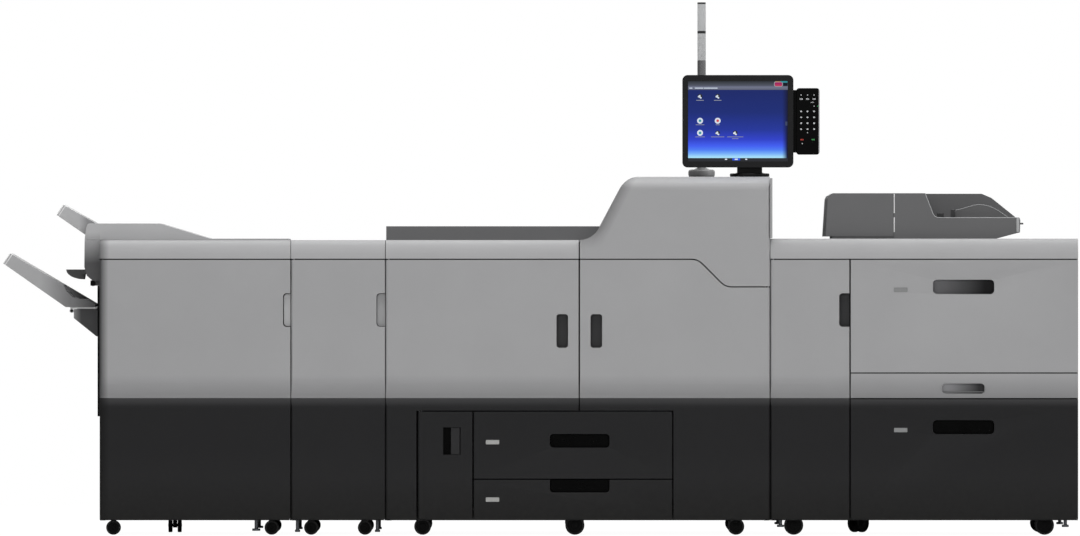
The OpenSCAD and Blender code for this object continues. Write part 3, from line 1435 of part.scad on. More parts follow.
// Casters and feet: places from each module's left side, the last one from its right side
function places(x0, w, set) = [for (i = [0:len(set) - 1]) x0 + (i < len(set) - 1 ? set[i] : w - set[i])];
finisher_caster_set = [46, 246, 65];
pass_caster_set = [69, 70];
feeder_caster_set = [81, 314, 114];
finisher_casters = places(finisher_x0, finisher_w, finisher_caster_set);
pass_casters = places(pass_x0, pass_w, pass_caster_set);
feeder_casters = places(feeder_x0, feeder_w, feeder_caster_set);
engine_caster_inset = [126, 116];
engine_caster_shift = 10;
engine_caster_x = [engine_caster_inset[0], engine_w / 2 - engine_caster_shift,
    engine_w - engine_caster_inset[1]];
// Each row of casters: place across the line, wheel radius, places in depth, turn about the stem
finisher_left_row = [finisher_casters[0], small_wheel_r, front_row, 0];
finisher_middle_row = [finisher_casters[1], small_wheel_r, rear_row, 90];
finisher_right_row = [finisher_casters[2], small_wheel_r, module_rows, 0];
pass_left_row = [pass_casters[0], small_wheel_r, module_rows, 0];
pass_right_row = [pass_casters[1], small_wheel_r, module_rows, 0];
engine_left_row = [engine_x0 + engine_caster_x[0], engine_wheel_r, engine_rows, 0];
engine_middle_row = [engine_x0 + engine_caster_x[1], large_wheel_r, engine_rows, 0];
engine_right_row = [engine_x0 + engine_caster_x[2], engine_wheel_r, engine_rows, 0];
feeder_left_row = [feeder_casters[0], large_wheel_r, front_row, 0];
feeder_middle_row = [feeder_casters[1], large_wheel_r, rear_row, skew];
feeder_right_row = [feeder_casters[2], large_wheel_r, module_rows, 0];
caster_rows = [finisher_left_row, finisher_middle_row, finisher_right_row, pass_left_row,
    pass_right_row, engine_left_row, engine_middle_row, engine_right_row, feeder_left_row,
    feeder_middle_row, feeder_right_row];
module caster_forks() color(steel) {
    for (row = caster_rows) for (y = row[2]) fork(row[0], y, row[1], row[3]);
}

module wheels(row) color(black_part) {
    for (y = row[2]) twin_wheel(row[0], y, row[1], row[3]);
}

// Levelling feet: places, radius and height of the pads
foot_pad_t = 8;
foot_stem_r = 6;
foot_set = 40;
finisher_foot_set = [118];
finisher_foot = [14, 14];
pass_foot_set = [22, 27];
pass_foot = [9, 10];
feeder_foot_set = [35, 43];
feeder_foot = [12, 27];
feet = concat(
    [for (x = places(finisher_x0, finisher_w, finisher_foot_set)) concat([x], finisher_foot)],
    [for (x = places(pass_x0, pass_w, pass_foot_set)) concat([x], pass_foot)],
    [for (x = places(feeder_x0, feeder_w, feeder_foot_set)) concat([x], feeder_foot)]);
module levelling_feet() color(steel) {
    for (f = feet) for (y = [module_face + foot_set, module_back - foot_set]) {
        bar_z([f[0], y, f[2]], f[1], foot_pad_t);
        bar_z([f[0], y, f[2]], foot_stem_r, plate_under - f[2]);
    }
}

engine_frame();
left_top_cover();
rear_deck();
hump_shell();
toner_cover();
toner_bottles();
left_front_door();
right_front_door();
service_door();
service_latch();
upper_paper_tray();
lower_paper_tray();
imaging_unit();
transfer_unit();
fuser_unit();
power_unit();
panel_stand();
panel_neck();
panel_housing();
panel_screen();
keypad();
beacon_base();
beacon_pole();
beacon_lenses();
finisher_frame();
finisher_hood();
finisher_door();
exit_head();
exit_flap();
exit_roller();
proof_tray();
shift_tray();
tray_carriage();
lift_rails();
stapler_unit();
pass_frame();
pass_door();
feeder_frame();
feeder_top_cover();
platen_glass();
feeder_door();
feeder_upper_drawer();
feeder_middle_drawer();
feeder_lower_drawer();
document_feeder();
document_cover();
document_tray();
caster_forks();
levelling_feet();
wheels(finisher_left_row);  // finisher_wheels_left
wheels(finisher_middle_row);  // finisher_wheels_middle
wheels(finisher_right_row);  // finisher_wheels_right
wheels(pass_left_row);  // pass_wheels_left
wheels(pass_right_row);  // pass_wheels_right
wheels(engine_left_row);  // engine_wheels_left
wheels(engine_middle_row);  // engine_wheels_middle
wheels(engine_right_row);  // engine_wheels_right
wheels(feeder_left_row);  // feeder_wheels_left
wheels(feeder_middle_row);  // feeder_wheels_middle
wheels(feeder_right_row);  // feeder_wheels_right
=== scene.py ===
"""Dress a digital production printer line: covers, trays, panel, signal light and studio.

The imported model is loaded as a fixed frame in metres. +X runs from the finisher to the sheet
feeder, +Y from the doors to the back and +Z up from the floor. Most covers are a merged copy of
their solid with moulded edges, pockets and two colours. Keys, icons, tags, wheels, louvres and
screws are modelled new.
"""

import json
import logging
import math
from dataclasses import dataclass, field
from enum import Enum
from typing import Callable, Iterable, Optional, Sequence

import bpy
from mathutils import Matrix, Vector


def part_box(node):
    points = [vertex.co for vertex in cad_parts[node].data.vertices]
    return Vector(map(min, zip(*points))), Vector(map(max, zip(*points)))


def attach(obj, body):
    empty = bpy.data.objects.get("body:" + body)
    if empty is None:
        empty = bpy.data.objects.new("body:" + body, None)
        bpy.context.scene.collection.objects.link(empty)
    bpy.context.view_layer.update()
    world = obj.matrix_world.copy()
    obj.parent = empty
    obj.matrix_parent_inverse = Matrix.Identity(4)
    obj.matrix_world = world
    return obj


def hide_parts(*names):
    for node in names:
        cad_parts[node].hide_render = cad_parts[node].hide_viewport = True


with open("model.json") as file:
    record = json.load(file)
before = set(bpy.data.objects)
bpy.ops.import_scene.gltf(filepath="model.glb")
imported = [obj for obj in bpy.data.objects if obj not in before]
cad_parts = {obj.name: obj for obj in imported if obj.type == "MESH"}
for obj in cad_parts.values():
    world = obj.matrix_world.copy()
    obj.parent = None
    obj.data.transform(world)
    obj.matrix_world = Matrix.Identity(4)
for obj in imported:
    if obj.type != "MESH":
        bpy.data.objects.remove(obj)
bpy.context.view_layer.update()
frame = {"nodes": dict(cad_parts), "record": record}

Point = tuple[float, float, float]
Span = tuple[float, float]
Colour = tuple[float, float, float, float]
Piece = bpy.types.Object
Socket = bpy.types.NodeSocket
FaceTest = Callable[[Vector, Vector], bool]  # takes a face's middle and its normal

log = logging.getLogger("printer")
BODY_OF = {node: body for body, nodes in frame["record"]["behaviour"]["bodies"].items() for node in nodes}
ACROSS: Point = (1.0, 0.0, 0.0)
BACKWARD: Point = (0.0, 1.0, 0.0)
UPWARD: Point = (0.0, 0.0, 1.0)
ANYWHERE: Span = (-math.inf, math.inf)
WAIST = 0.471  # where the covers change from light grey to charcoal
ENGINE_FACE, MODULE_FACE = -0.455, -0.451  # front faces of the engine's covers and of the others
FACING = 0.9  # least part of a normal along a direction, for a face that looks that way
CURVE_SIDES = 48


# ---- colours and node trees

def linear(code: str) -> Colour:
    """Turn an sRGB hex colour into linear values with full alpha.

    Args:
        code: The colour as "#rrggbb".

    Returns:
        Red, green, blue and alpha for a shader socket.
    """
    parts = [int(code[i:i + 2], 16) / 255 for i in (1, 3, 5)]
    red, green, blue = (v / 12.92 if v <= 0.04045 else ((v + 0.055) / 1.055) ** 2.4 for v in parts)
    return (red, green, blue, 1.0)


def shade(code: str, factor: float) -> Colour:
    """Scale the linear values of a colour given as "#rrggbb"."""
    return (*[min(1.0, v * factor) for v in linear(code)[:3]], 1.0)


def add_node(tree: bpy.types.NodeTree, kind: str, feeds: Optional[dict] = None,
             stops: Sequence[tuple[float, Colour]] = (), **settings) -> bpy.types.Node:
    """Add a shader node with its settings and what feeds its sockets.

    Args:
        tree: The material's node tree.
        kind: Blender's name for the node.
        feeds: Socket name or number to a value, or to the output socket that links there.
        stops: Position and linear colour of each stop of a colour ramp, in order.
        settings: Properties of the node itself.

    Returns:
        The new node.
    """
    new = tree.nodes.new(kind)
    for name, value in settings.items():
        setattr(new, name, value)
    for name, value in (feeds or {}).items():
        if isinstance(value, Socket):
            tree.links.new(value, new.inputs[name])
        else:
            new.inputs[name].default_value = value
    while stops and len(new.color_ramp.elements) < len(stops):
        new.color_ramp.elements.new(1.0)
    for number, (place, colour) in enumerate(stops):
        element = new.color_ramp.elements[number]
        element.position, element.color = place, colour
    return new


def new_tree(name: str) -> tuple[bpy.types.Material, bpy.types.NodeTree, Socket]:
    """Start a material with an empty tree.

    Args:
        name: The material's name.

    Returns:
        The material, its tree and the object coordinates' socket.
    """
    material = bpy.data.materials.new(name)
    material.use_nodes = True
    tree = material.node_tree
    tree.nodes.clear()
    return material, tree, add_node(tree, "ShaderNodeTexCoord").outputs["Object"]


def close(material: bpy.types.Material, feeds: dict) -> bpy.types.Material:
    """Complete a material with its principled shader and its output.

    Args:
        material: The material.
        feeds: What the shader's sockets get.

    Returns:
        The same material.
    """
    shader = add_node(material.node_tree, "ShaderNodeBsdfPrincipled", feeds)
    add_node(material.node_tree, "ShaderNodeOutputMaterial", {"Surface": shader.outputs["BSDF"]})
    return material


# ---- finishes

@dataclass(frozen=True)
class Fade:
    """A slow change of tone along one direction; on the covers it is painted shade or painted light, as on a cover
    that turns away from the light.
    """

    way: Point
    start: float
    end: float
    colour: str  # the tone at the start; the finish's own colour holds at the end


def faded(tree: bpy.types.NodeTree, place: Socket, base: Socket, fades: Sequence[Fade]) -> Socket:
    """Lay fades over a colour, one after the other.

    Args:
        tree: The material's node tree.
        place: The object coordinates' socket.
        base: The colour's socket.
        fades: The fades.

    Returns:
        The changed colour's socket.
    """
    for fade in fades:
        along = add_node(tree, "ShaderNodeVectorMath", {0: place, 1: fade.way}, operation="DOT_PRODUCT")
        share = add_node(tree, "ShaderNodeMapRange", {"Value": along.outputs["Value"], "From Min": fade.start,
                                                      "From Max": fade.end})
        base = add_node(tree, "ShaderNodeMix", {"Factor": share.outputs["Result"], 6: linear(fade.colour), 7: base},
                        data_type="RGBA").outputs[2]
    return base


@dataclass(frozen=True)
class MouldedPlastic:
    """Injection moulded ABS: a spark-eroded grain that breaks the gloss, faint flow clouds, a little dust."""

    name: str
    colour: str
    roughness: float = 0.5
    grain_mm: float = 1.1  # the real grain is near 0.3 mm: drawn coarser so that it shows
    grain_depth_mm: float = 0.05
    cloud: float = 0.02
    dust: float = 0.0
    sheen: float = 0.35  # the shader's specular level: grain scatters much of the gloss
    fades: tuple[Fade, ...] = ()

    def build(self) -> bpy.types.Material:
        """Make the material.

        Returns:
            The finished material.
        """
        material, tree, place = new_tree(self.name)
        clouds = add_node(tree, "ShaderNodeTexNoise", {"Vector": place, "Scale": 5.0, "Detail": 3.0})
        tone = add_node(tree, "ShaderNodeValToRGB", {"Fac": clouds.outputs["Fac"]},
                        [(0.3, shade(self.colour, 1 - self.cloud)), (0.7, shade(self.colour, 1 + self.cloud))])
        base = faded(tree, place, tone.outputs["Color"], self.fades)
        if self.dust:
            height = add_node(tree, "ShaderNodeSeparateXYZ", {"Vector": place}).outputs["Z"]
            low = add_node(tree, "ShaderNodeMapRange",
                           {"Value": height, "From Min": 0.05, "From Max": 0.3, "To Min": self.dust, "To Max": 0.0})
            specks = add_node(tree, "ShaderNodeTexNoise", {"Vector": place, "Scale": 60.0, "Detail": 6.0})
            amount = add_node(tree, "ShaderNodeMath",
                              {0: low.outputs["Result"], 1: specks.outputs["Fac"]}, operation="MULTIPLY")
            base = add_node(tree, "ShaderNodeMix", {"Factor": amount.outputs[0], 6: base, 7: linear("#8d8a84")},
                            data_type="RGBA").outputs[2]
        rubbed = add_node(tree, "ShaderNodeTexNoise", {"Vector": place, "Scale": 17.0, "Detail": 4.0})
        gloss = add_node(tree, "ShaderNodeMapRange",
                         {"Value": rubbed.outputs["Fac"], "From Min": 0.3, "From Max": 0.7,
                          "To Min": self.roughness - 0.05, "To Max": self.roughness + 0.05})
        grain = add_node(tree, "ShaderNodeTexNoise", {"Vector": place, "Scale": 1000 / self.grain_mm, "Detail": 1.0})
        bump = add_node(tree, "ShaderNodeBump", {"Height": grain.outputs["Fac"], "Strength": 0.35,
                                                 "Distance": self.grain_depth_mm / 1000})
        return close(material, {"Base Color": base, "Roughness": gloss.outputs["Result"], "IOR": 1.5,
                                "Specular IOR Level": self.sheen, "Normal": bump.outputs["Normal"]})


@dataclass(frozen=True)
class PowderCoat:
    """Baked polyester powder on sheet steel: a soft orange peel some 3 mm across over an even colour."""

    name: str
    colour: str
    roughness: float = 0.42
    peel_mm: float = 3.0

    def build(self) -> bpy.types.Material:
        """Make the material.

        Returns:
            The finished material.
        """
        material, tree, place = new_tree(self.name)
        peel = add_node(tree, "ShaderNodeTexVoronoi", {"Vector": place, "Scale": 1000 / self.peel_mm},
                        feature="SMOOTH_F1")
        bump = add_node(tree, "ShaderNodeBump", {"Height": peel.outputs["Distance"], "Strength": 0.3,
                                                 "Distance": 0.0001})
        clouds = add_node(tree, "ShaderNodeTexNoise", {"Vector": place, "Scale": 3.0, "Detail": 2.0})
        tone = add_node(tree, "ShaderNodeValToRGB", {"Fac": clouds.outputs["Fac"]},
                        [(0.3, shade(self.colour, 0.97)), (0.7, shade(self.colour, 1.03))])
        return close(material, {"Base Color": tone.outputs["Color"], "Roughness": self.roughness,
                                "Normal": bump.outputs["Normal"]})


@dataclass(frozen=True)
class Metal:
    """Bare metal: crystals or drawing lines change its tint and gloss, as on zinc plate or turned steel."""

    name: str
    colour: str
    roughness: float
    crystal_mm: float = 9.0
    stretch: Point = (1.0, 1.0, 1.0)

    def build(self) -> bpy.types.Material:
        """Make the material.

        Returns:
            The finished material.
        """
        material, tree, place = new_tree(self.name)
        turned = add_node(tree, "ShaderNodeMapping", {"Vector": place, "Scale": self.stretch})
        cells = add_node(tree, "ShaderNodeTexVoronoi", {"Vector": turned.outputs["Vector"],
                                                        "Scale": 1000 / self.crystal_mm})
        share = add_node(tree, "ShaderNodeSeparateXYZ", {"Vector": cells.outputs["Color"]}).outputs["X"]
        tone = add_node(tree, "ShaderNodeValToRGB", {"Fac": share},
                        [(0.0, shade(self.colour, 0.88)), (1.0, shade(self.colour, 1.08))])
        gloss = add_node(tree, "ShaderNodeMapRange", {"Value": share, "To Min": self.roughness - 0.06,
                                                      "To Max": self.roughness + 0.08})
        return close(material, {"Base Color": tone.outputs["Color"], "Roughness": gloss.outputs["Result"],
                                "Metallic": 1.0})


@dataclass(frozen=True)
class Rubber:
    """Cast polyurethane or rubber: matt, a dusty bloom in patches, fine pores of about 1 mm."""

    name: str
    colour: str
    bloom: str = "#57554f"
    pore_mm: float = 1.2

    def build(self) -> bpy.types.Material:
        """Make the material.

        Returns:
            The finished material.
        """
        material, tree, place = new_tree(self.name)
        patches = add_node(tree, "ShaderNodeTexNoise", {"Vector": place, "Scale": 40.0, "Detail": 5.0})
        tone = add_node(tree, "ShaderNodeValToRGB", {"Fac": patches.outputs["Fac"]},
                        [(0.45, linear(self.colour)), (0.85, linear(self.bloom))])
        pores = add_node(tree, "ShaderNodeTexVoronoi", {"Vector": place, "Scale": 1000 / self.pore_mm})
        bump = add_node(tree, "ShaderNodeBump", {"Height": pores.outputs["Distance"], "Strength": 0.4,
                                                 "Distance": 0.0001})
        return close(material, {"Base Color": tone.outputs["Color"], "Roughness": 0.75,
                                "Normal": bump.outputs["Normal"]})


@dataclass(frozen=True)
class Clear:
    """Glass or clear polycarbonate: light passes, with a faint waviness in the gloss."""

    name: str
    colour: str
    passes: float
    roughness: float

    def build(self) -> bpy.types.Material:
        """Make the material.

        Returns:
            The finished material.
        """
        material, tree, place = new_tree(self.name)
        waves = add_node(tree, "ShaderNodeTexNoise", {"Vector": place, "Scale": 25.0, "Detail": 2.0}).outputs["Fac"]
        tone = add_node(tree, "ShaderNodeValToRGB", {"Fac": waves},
                        [(0.3, shade(self.colour, 0.97)), (0.7, linear(self.colour))])
        gloss = add_node(tree, "ShaderNodeMapRange", {"Value": waves, "To Min": self.roughness,
                                                      "To Max": self.roughness + 0.05})
        return close(material, {"Base Color": tone.outputs["Color"], "Roughness": gloss.outputs["Result"],
                                "Transmission Weight": self.passes, "IOR": 1.52})


@dataclass(frozen=True)
class LitScreen:
    """Backlit display under a glossy film: a soft glow whose colour changes from its foot to its top."""

    name: str
    reach: Span
    stops: tuple[tuple[float, str], ...]
    fades: tuple[Fade, ...] = ()

    def build(self) -> bpy.types.Material:
        """Make the material.

        Returns:
            The finished material.
        """
        material, tree, place = new_tree(self.name)
        height = add_node(tree, "ShaderNodeSeparateXYZ", {"Vector": place}).outputs["Z"]
        share = add_node(tree, "ShaderNodeMapRange", {"Value": height, "From Min": self.reach[0],
                                                      "From Max": self.reach[1]})
        picture = add_node(tree, "ShaderNodeValToRGB", {"Fac": share.outputs["Result"]},
                           [(at, linear(code)) for at, code in self.stops]).outputs["Color"]
        smears = add_node(tree, "ShaderNodeTexNoise", {"Vector": place, "Scale": 30.0, "Detail": 4.0})
        gloss = add_node(tree, "ShaderNodeMapRange", {"Value": smears.outputs["Fac"], "To Min": 0.2, "To Max": 0.32})
        return close(material, {"Emission Color": faded(tree, place, picture, self.fades), "Emission Strength": 0.95,
                                "Base Color": linear("#05070a"), "Roughness": gloss.outputs["Result"],
                                "Specular IOR Level": 0.08})


def lit(name: str, foot: str, top: Optional[str] = None) -> LitScreen:
    """Describe a lit shape by its material's name and its colour at the panel's foot and, if another, top."""
    return LitScreen(name, (1.28, 1.57), ((0.0, foot), (1.0, top or foot)))


# Painted shade: the light grey darkens towards the waist, where the covers curve in away from the light.
WAIST_PAINTED_SHADE = Fade(UPWARD, WAIST, 0.55, "#818182")
# Painted shade that darkens the charcoal towards the floor, and a painted highlight just under the waist, where the
# charcoal slopes up to the light.
FOOT_SHADE_AND_WAIST_HIGHLIGHT = (Fade(UPWARD, 0.05, 0.2, "#141414"), Fade(UPWARD, 0.468, 0.443, "#3a3a3b"))


class Finish(Enum):
    """The finishes of the line."""

    LIGHT_ABS = MouldedPlastic("light grey moulded ABS", "#979798", 0.5, fades=(WAIST_PAINTED_SHADE,))
    # Painted shade: the covers at the line's left end darken at their left edge, which turns away from the light.
    END_ABS = MouldedPlastic("light grey moulded ABS of the line's end", "#979798", 0.5,
                             fades=(WAIST_PAINTED_SHADE, Fade(ACROSS, -1.511, -1.483, "#3d3d3e")))
    # Painted shade along the raised section's sloping left flank, which turns away from the light; below the flank's
    # foot it gives way to the plain grey.
    HUMP_ABS = MouldedPlastic("light grey moulded ABS of the raised section", "#979798", 0.5, fades=(
        Fade((0.894, 0.0, -0.449), -0.288, -0.252, "#747475"), Fade(UPWARD, 0.985, 1.055, "#979798")))
    # Painted light: a lighter copy of the cover grey for the top strips and upward faces, which tilt up to the light;
    # painted shade darkens the line's left end, which turns away from it.
    LIP_ABS = MouldedPlastic("light grey moulded ABS of the top strips", "#9d9d9e", 0.5,
                             fades=(Fade(ACROSS, -1.513, -1.48, "#5a5a5b"),))
    HOOD_ABS = MouldedPlastic("light grey moulded ABS of the hood", "#a9a9aa", 0.5)
    # Painted shade: the exit head darkens towards its foot, where it curves in away from the light.
    HEAD_ABS = MouldedPlastic("light grey moulded ABS of the outlet head", "#a9a9aa", 0.5,
                              fades=(Fade(UPWARD, 0.935, 1.042, "#4a4a4b"),))
    PALE_ABS = MouldedPlastic("pale grey moulded ABS", "#c4c4c5", 0.48)
    # Painted shade: the trays and their carriage darken towards the finisher, where shade falls between them and it.
    TRAY_ABS = MouldedPlastic("light grey moulded ABS of the proof tray", "#acacad", 0.5,
                              fades=(Fade(ACROSS, -1.558, -1.588, "#858586"),))
    SHIFT_ABS = MouldedPlastic("light grey moulded ABS of the shift tray", "#a0a0a1", 0.5,
                               fades=(Fade(ACROSS, -1.62, -1.72, "#777778"), Fade(ACROSS, -1.54, -1.61, "#4d4d4e")))
    RACK_ABS = MouldedPlastic("grey moulded ABS of the tray carriage", "#959596", 0.5, sheen=0.25,
                              fades=(Fade(ACROSS, -1.583, -1.607, "#49494a"),))
    STRIPE_ABS = MouldedPlastic("white moulded ABS of the trays' end caps", "#d6d6d6", 0.45)
    # Charcoal with the painted shade at its foot and the painted highlight under the waist, and a little dust near
    # the floor.
    DARK_ABS = MouldedPlastic("charcoal moulded ABS", "#1f1f20", 0.45, dust=0.03, sheen=0.12,
                              fades=FOOT_SHADE_AND_WAIST_HIGHLIGHT)
    # Painted shade at the left edge of the charcoal too.
    END_DARK_ABS = MouldedPlastic("charcoal moulded ABS of the line's end", "#1f1f20", 0.45, dust=0.03, sheen=0.12,
                                  fades=(*FOOT_SHADE_AND_WAIST_HIGHLIGHT, Fade(ACROSS, -1.513, -1.48, "#0b0b0b")))
    CUP_ABS = MouldedPlastic("slate moulded ABS", "#343435", 0.5, sheen=0.2)
    DECK_ABS = MouldedPlastic("mid grey moulded ABS", "#626263", 0.5, sheen=0.3)
    FEED_ABS = MouldedPlastic("mid grey moulded ABS of the document feeder", "#5e5e5f", 0.48, sheen=0.3)
    # Painted shade: a near-black band along the lid's slanted left edge, which turns away from the light.
    LID_ABS = MouldedPlastic("mid grey moulded ABS of the feeder's lid", "#5e5e5f", 0.48, sheen=0.3,
                             fades=(Fade((1.0, 0.0, -0.052), 0.9262, 0.9325, "#0d0d0d"),))
    # Painted shade: the signal light's pole and foot darken on their left sides, away from the lamp at the right.
    TUBE_ABS = MouldedPlastic("mid grey moulded ABS of the signal light", "#69696a", 0.45,
                              fades=(Fade(ACROSS, 0.545, 0.566, "#3a3a3b"),))
    BASE_ABS = MouldedPlastic("grey moulded ABS of the light's foot", "#838384", 0.45,
                              fades=(Fade(ACROSS, 0.55, 0.585, "#4e4e4f"),))
    # Painted highlight: pale strips laid along edges that catch the light.
    EDGE_ABS = MouldedPlastic("pale painted highlight on lit edges", "#a2a3a4", 0.4)
    SHADE_ABS = MouldedPlastic("graphite moulded ABS", "#2a2a2b", 0.5, sheen=0.2)
    FLAP_ABS = MouldedPlastic("graphite moulded ABS of the flap", "#4e4e4f", 0.5, sheen=0.25)
    # Painted light and shade in the feeder drawers' grip pockets: lit at the left, falling into deep shade at the
    # right.
    GRIP_ABS = MouldedPlastic("painted light and shade of the feeder's upper grip", "#161617", 0.5, sheen=0.15,
                              fades=(Fade(ACROSS, 1.36, 1.53, "#717173"),))
    MILD_GRIP = MouldedPlastic("painted light and shade of the feeder's middle grip", "#333334", 0.5, sheen=0.2,
                               fades=(Fade(ACROSS, 1.395, 1.51, "#98989a"),))
    SIDE_GRIP = MouldedPlastic("graphite moulded ABS of the side grip", "#353536", 0.5, sheen=0.15)
    BLACK_ABS = MouldedPlastic("black satin ABS", "#0d0d0e", 0.4, grain_mm=0.9, sheen=0.15)
    PANEL_ABS = MouldedPlastic("black satin ABS of the panel", "#0a0a0c", 0.4, grain_mm=0.9, sheen=0.2)
    # Real black on the keypad; as the lining of grip pockets and the service door's recess it paints their deep
    # shade.
    GLOSS_BLACK = MouldedPlastic("black polished ABS and painted recess shade", "#020202", 0.3, grain_depth_mm=0.01, sheen=0.05)
    LATCH_ABS = MouldedPlastic("charcoal moulded ABS of the latch", "#242425", 0.4, sheen=0.2)
    # Painted shade: matt black for the shade in the gaps between covers, on the doors' and drawers' sides, on strips
    # behind the gaps and on the finisher pocket's walls; it also makes the carriage knob's black middle.
    SEAL = Rubber("matt black, mostly painted gap shade", "#060606", "#0b0b0b")
    KEY_GREY = MouldedPlastic("pale keycap ABS", "#b9bbbd", 0.45, grain_mm=0.8)
    KEY_RED = MouldedPlastic("red keycap ABS", "#b3392f", 0.4, grain_mm=0.8)
    KEY_GREEN = MouldedPlastic("green keycap ABS", "#3f9a54", 0.4, grain_mm=0.8)
    TAG_ABS = MouldedPlastic("white printed tag film", "#9d9d9b", 0.35, grain_depth_mm=0.01)
    TAG_GREY = MouldedPlastic("grey printed tag film", "#7f8080", 0.35, grain_depth_mm=0.01)
    ROLLER_RUBBER = Rubber("black EPDM roller rubber", "#111112", "#2b2a29")
    TREAD = Rubber("black polyurethane wheel tread", "#050505", "#0e0e0e")
    HUB_ABS = MouldedPlastic("black moulded ABS of the wheel discs", "#070707", 0.5, sheen=0.08)
    FRAME_PAINT = PowderCoat("grey powder coated sheet steel", "#8f9193")
    ZINC = Metal("zinc plated steel", "#b4b6b8", 0.34)
    DARK_ZINC = Metal("black zinc plated steel", "#55575a", 0.45)
    TURNED_STEEL = Metal("turned steel rod", "#c3c4c6", 0.22, 4.0, (0.05, 1.0, 1.0))
    COPPER_ALLOY = Metal("nickel plated brass contact", "#c9bfa0", 0.25, 3.0)
    PLATEN = Clear("clear float glass", "#dfe9e6", 0.9, 0.02)
    LENS = Clear("frosted polycarbonate lens", "#b3b4b5", 0.08, 0.4)
    TONER_BLACK = MouldedPlastic("black toner bottle HDPE", "#222223", 0.45)
    TONER_CYAN = MouldedPlastic("cyan toner bottle HDPE", "#1c86b8", 0.45)
    TONER_MAGENTA = MouldedPlastic("magenta toner bottle HDPE", "#b02c6f", 0.45)
    TONER_YELLOW = MouldedPlastic("yellow toner bottle HDPE", "#d8b62a", 0.45)
    BELT_FILM = MouldedPlastic("polyimide transfer belt film", "#17171b", 0.16, grain_depth_mm=0.005)
    SCREEN = LitScreen("lit touch screen", (1.288, 1.564), (
        (0.0, "#bff3ff"), (0.045, "#a6e0ff"), (0.085, "#78b2fe"), (0.13, "#4f80fa"), (0.18, "#4260f6"),
        (0.26, "#2f41cc"), (0.38, "#22359c"), (0.6, "#182a76"), (1.0, "#152363")),
        (Fade(ACROSS, 0.851, 0.834, "#10143c"),))
    SCREEN_BAR = LitScreen("lit slate screen bar", (1.5444, 1.564),
                           ((0.0, "#535766"), (0.45, "#40444d"), (1.0, "#1c1f24")))
    SCREEN_BAND = LitScreen("lit grey screen band", (1.5308, 1.5444),
                            ((0.0, "#5c6072"), (0.6, "#71758a"), (1.0, "#62667a")))
    SCREEN_FOOT = lit("lit slate screen foot", "#2b2c31")
    ICON_WHITE = lit("lit pale icon", "#e8eef6", "#cfdaea")
    ICON_GREY = lit("lit grey icon", "#8a8d94", "#9ea2aa")
    ICON_TEAL = lit("lit teal icon", "#2f9aa6", "#2f8f9a")
    ICON_BLUE = lit("lit blue tab", "#2a55dd")
    ICON_SLATE = lit("lit slate icon", "#3c4562")
    ICON_NAVY = lit("lit navy icon", "#060a1c")
    ICON_AMBER = lit("lit amber icon", "#b57a30")
    ICON_RED = LitScreen("lit red icon", (1.28, 1.57),
                         ((0.0, "#d8483e"), (0.9, "#d04452"), (0.94, "#a01f60"), (1.0, "#b3246a")))
    LED_GREEN = lit("lit green indicator", "#4fd97a")

    def material(self) -> bpy.types.Material:
        """Give the finish's material, made once."""
        return bpy.data.materials.get(self.value.name) or self.value.build()


# ---- modelling by hand, in code

def looks_forward(_: Vector, normal: Vector) -> bool:
    """Tell whether a face looks to the front."""
    return normal.y < -FACING


def looks_back(_: Vector, normal: Vector) -> bool:
    """Tell whether a face looks to the back."""
    return normal.y > FACING


def looks_up(_: Vector, normal: Vector) -> bool:
    """Tell whether a face looks up."""
    return normal.z > FACING


def within(x: Span = ANYWHERE, y: Span = ANYWHERE, z: Span = ANYWHERE, depthwise: float = math.inf) -> FaceTest:
    """Make a test for faces whose middle lies in a box, with a limit for their normal's part along the depth."""
    return lambda c, n: (x[0] < c.x < x[1] and y[0] < c.y < y[1] and z[0] < c.z < z[1]
                         and abs(n.y) < depthwise)


def clear() -> None:
    """Leave edit mode and select nothing."""
    if bpy.context.object and bpy.context.object.mode != "OBJECT":
        bpy.ops.object.mode_set(mode="OBJECT")
    bpy.ops.object.select_all(action="DESELECT")


def focus(piece: Piece) -> Piece:
    """Select one piece alone and make it active.

    Args:
        piece: The piece.

    Returns:
        The same piece.
    """
    clear()
    piece.select_set(True)
    bpy.context.view_layer.objects.active = piece
    return piece


def settle(name: str) -> Piece:
    """Name the primitive just added and move its place into its mesh.

    Args:
        name: The piece's name.

    Returns:
        The piece.
    """
    piece = focus(bpy.context.object)
    piece.name = piece.data.name = name
    bpy.ops.object.transform_apply(location=True, rotation=True, scale=True)
    return piece


def block(name: str, low: Point, high: Point) -> Piece:
    """Add a block between two corners.

    Args:
        name: The piece's name.
        low: Its lowest corner.
        high: Its highest corner.

    Returns:
        The block.
    """
    clear()
    low, high = Vector(low), Vector(high)
    bpy.ops.mesh.primitive_cube_add(size=1, location=(low + high) / 2, scale=high - low)
    return settle(name)


def rod(name: str, start: Point, end: Point, radius: float, sides: int = CURVE_SIDES,
        end_radius: Optional[float] = None) -> Piece:
    """Add a round bar or cone between two points.

    Args:
        name: The piece's name.
        start: The middle of one end.
        end: The middle of the other end.
        radius: The bar's radius.
        sides: Faces round the bar.
        end_radius: Radius at its end, if it tapers.

    Returns:
        The bar.
    """
    clear()
    start, end = Vector(start), Vector(end)
    turn = (end - start).to_track_quat("Z", "Y").to_euler()
    bpy.ops.mesh.primitive_cone_add(vertices=sides, radius1=radius, depth=(end - start).length,
                                    radius2=radius if end_radius is None else end_radius,
                                    location=(start + end) / 2, rotation=turn)
    return settle(name)


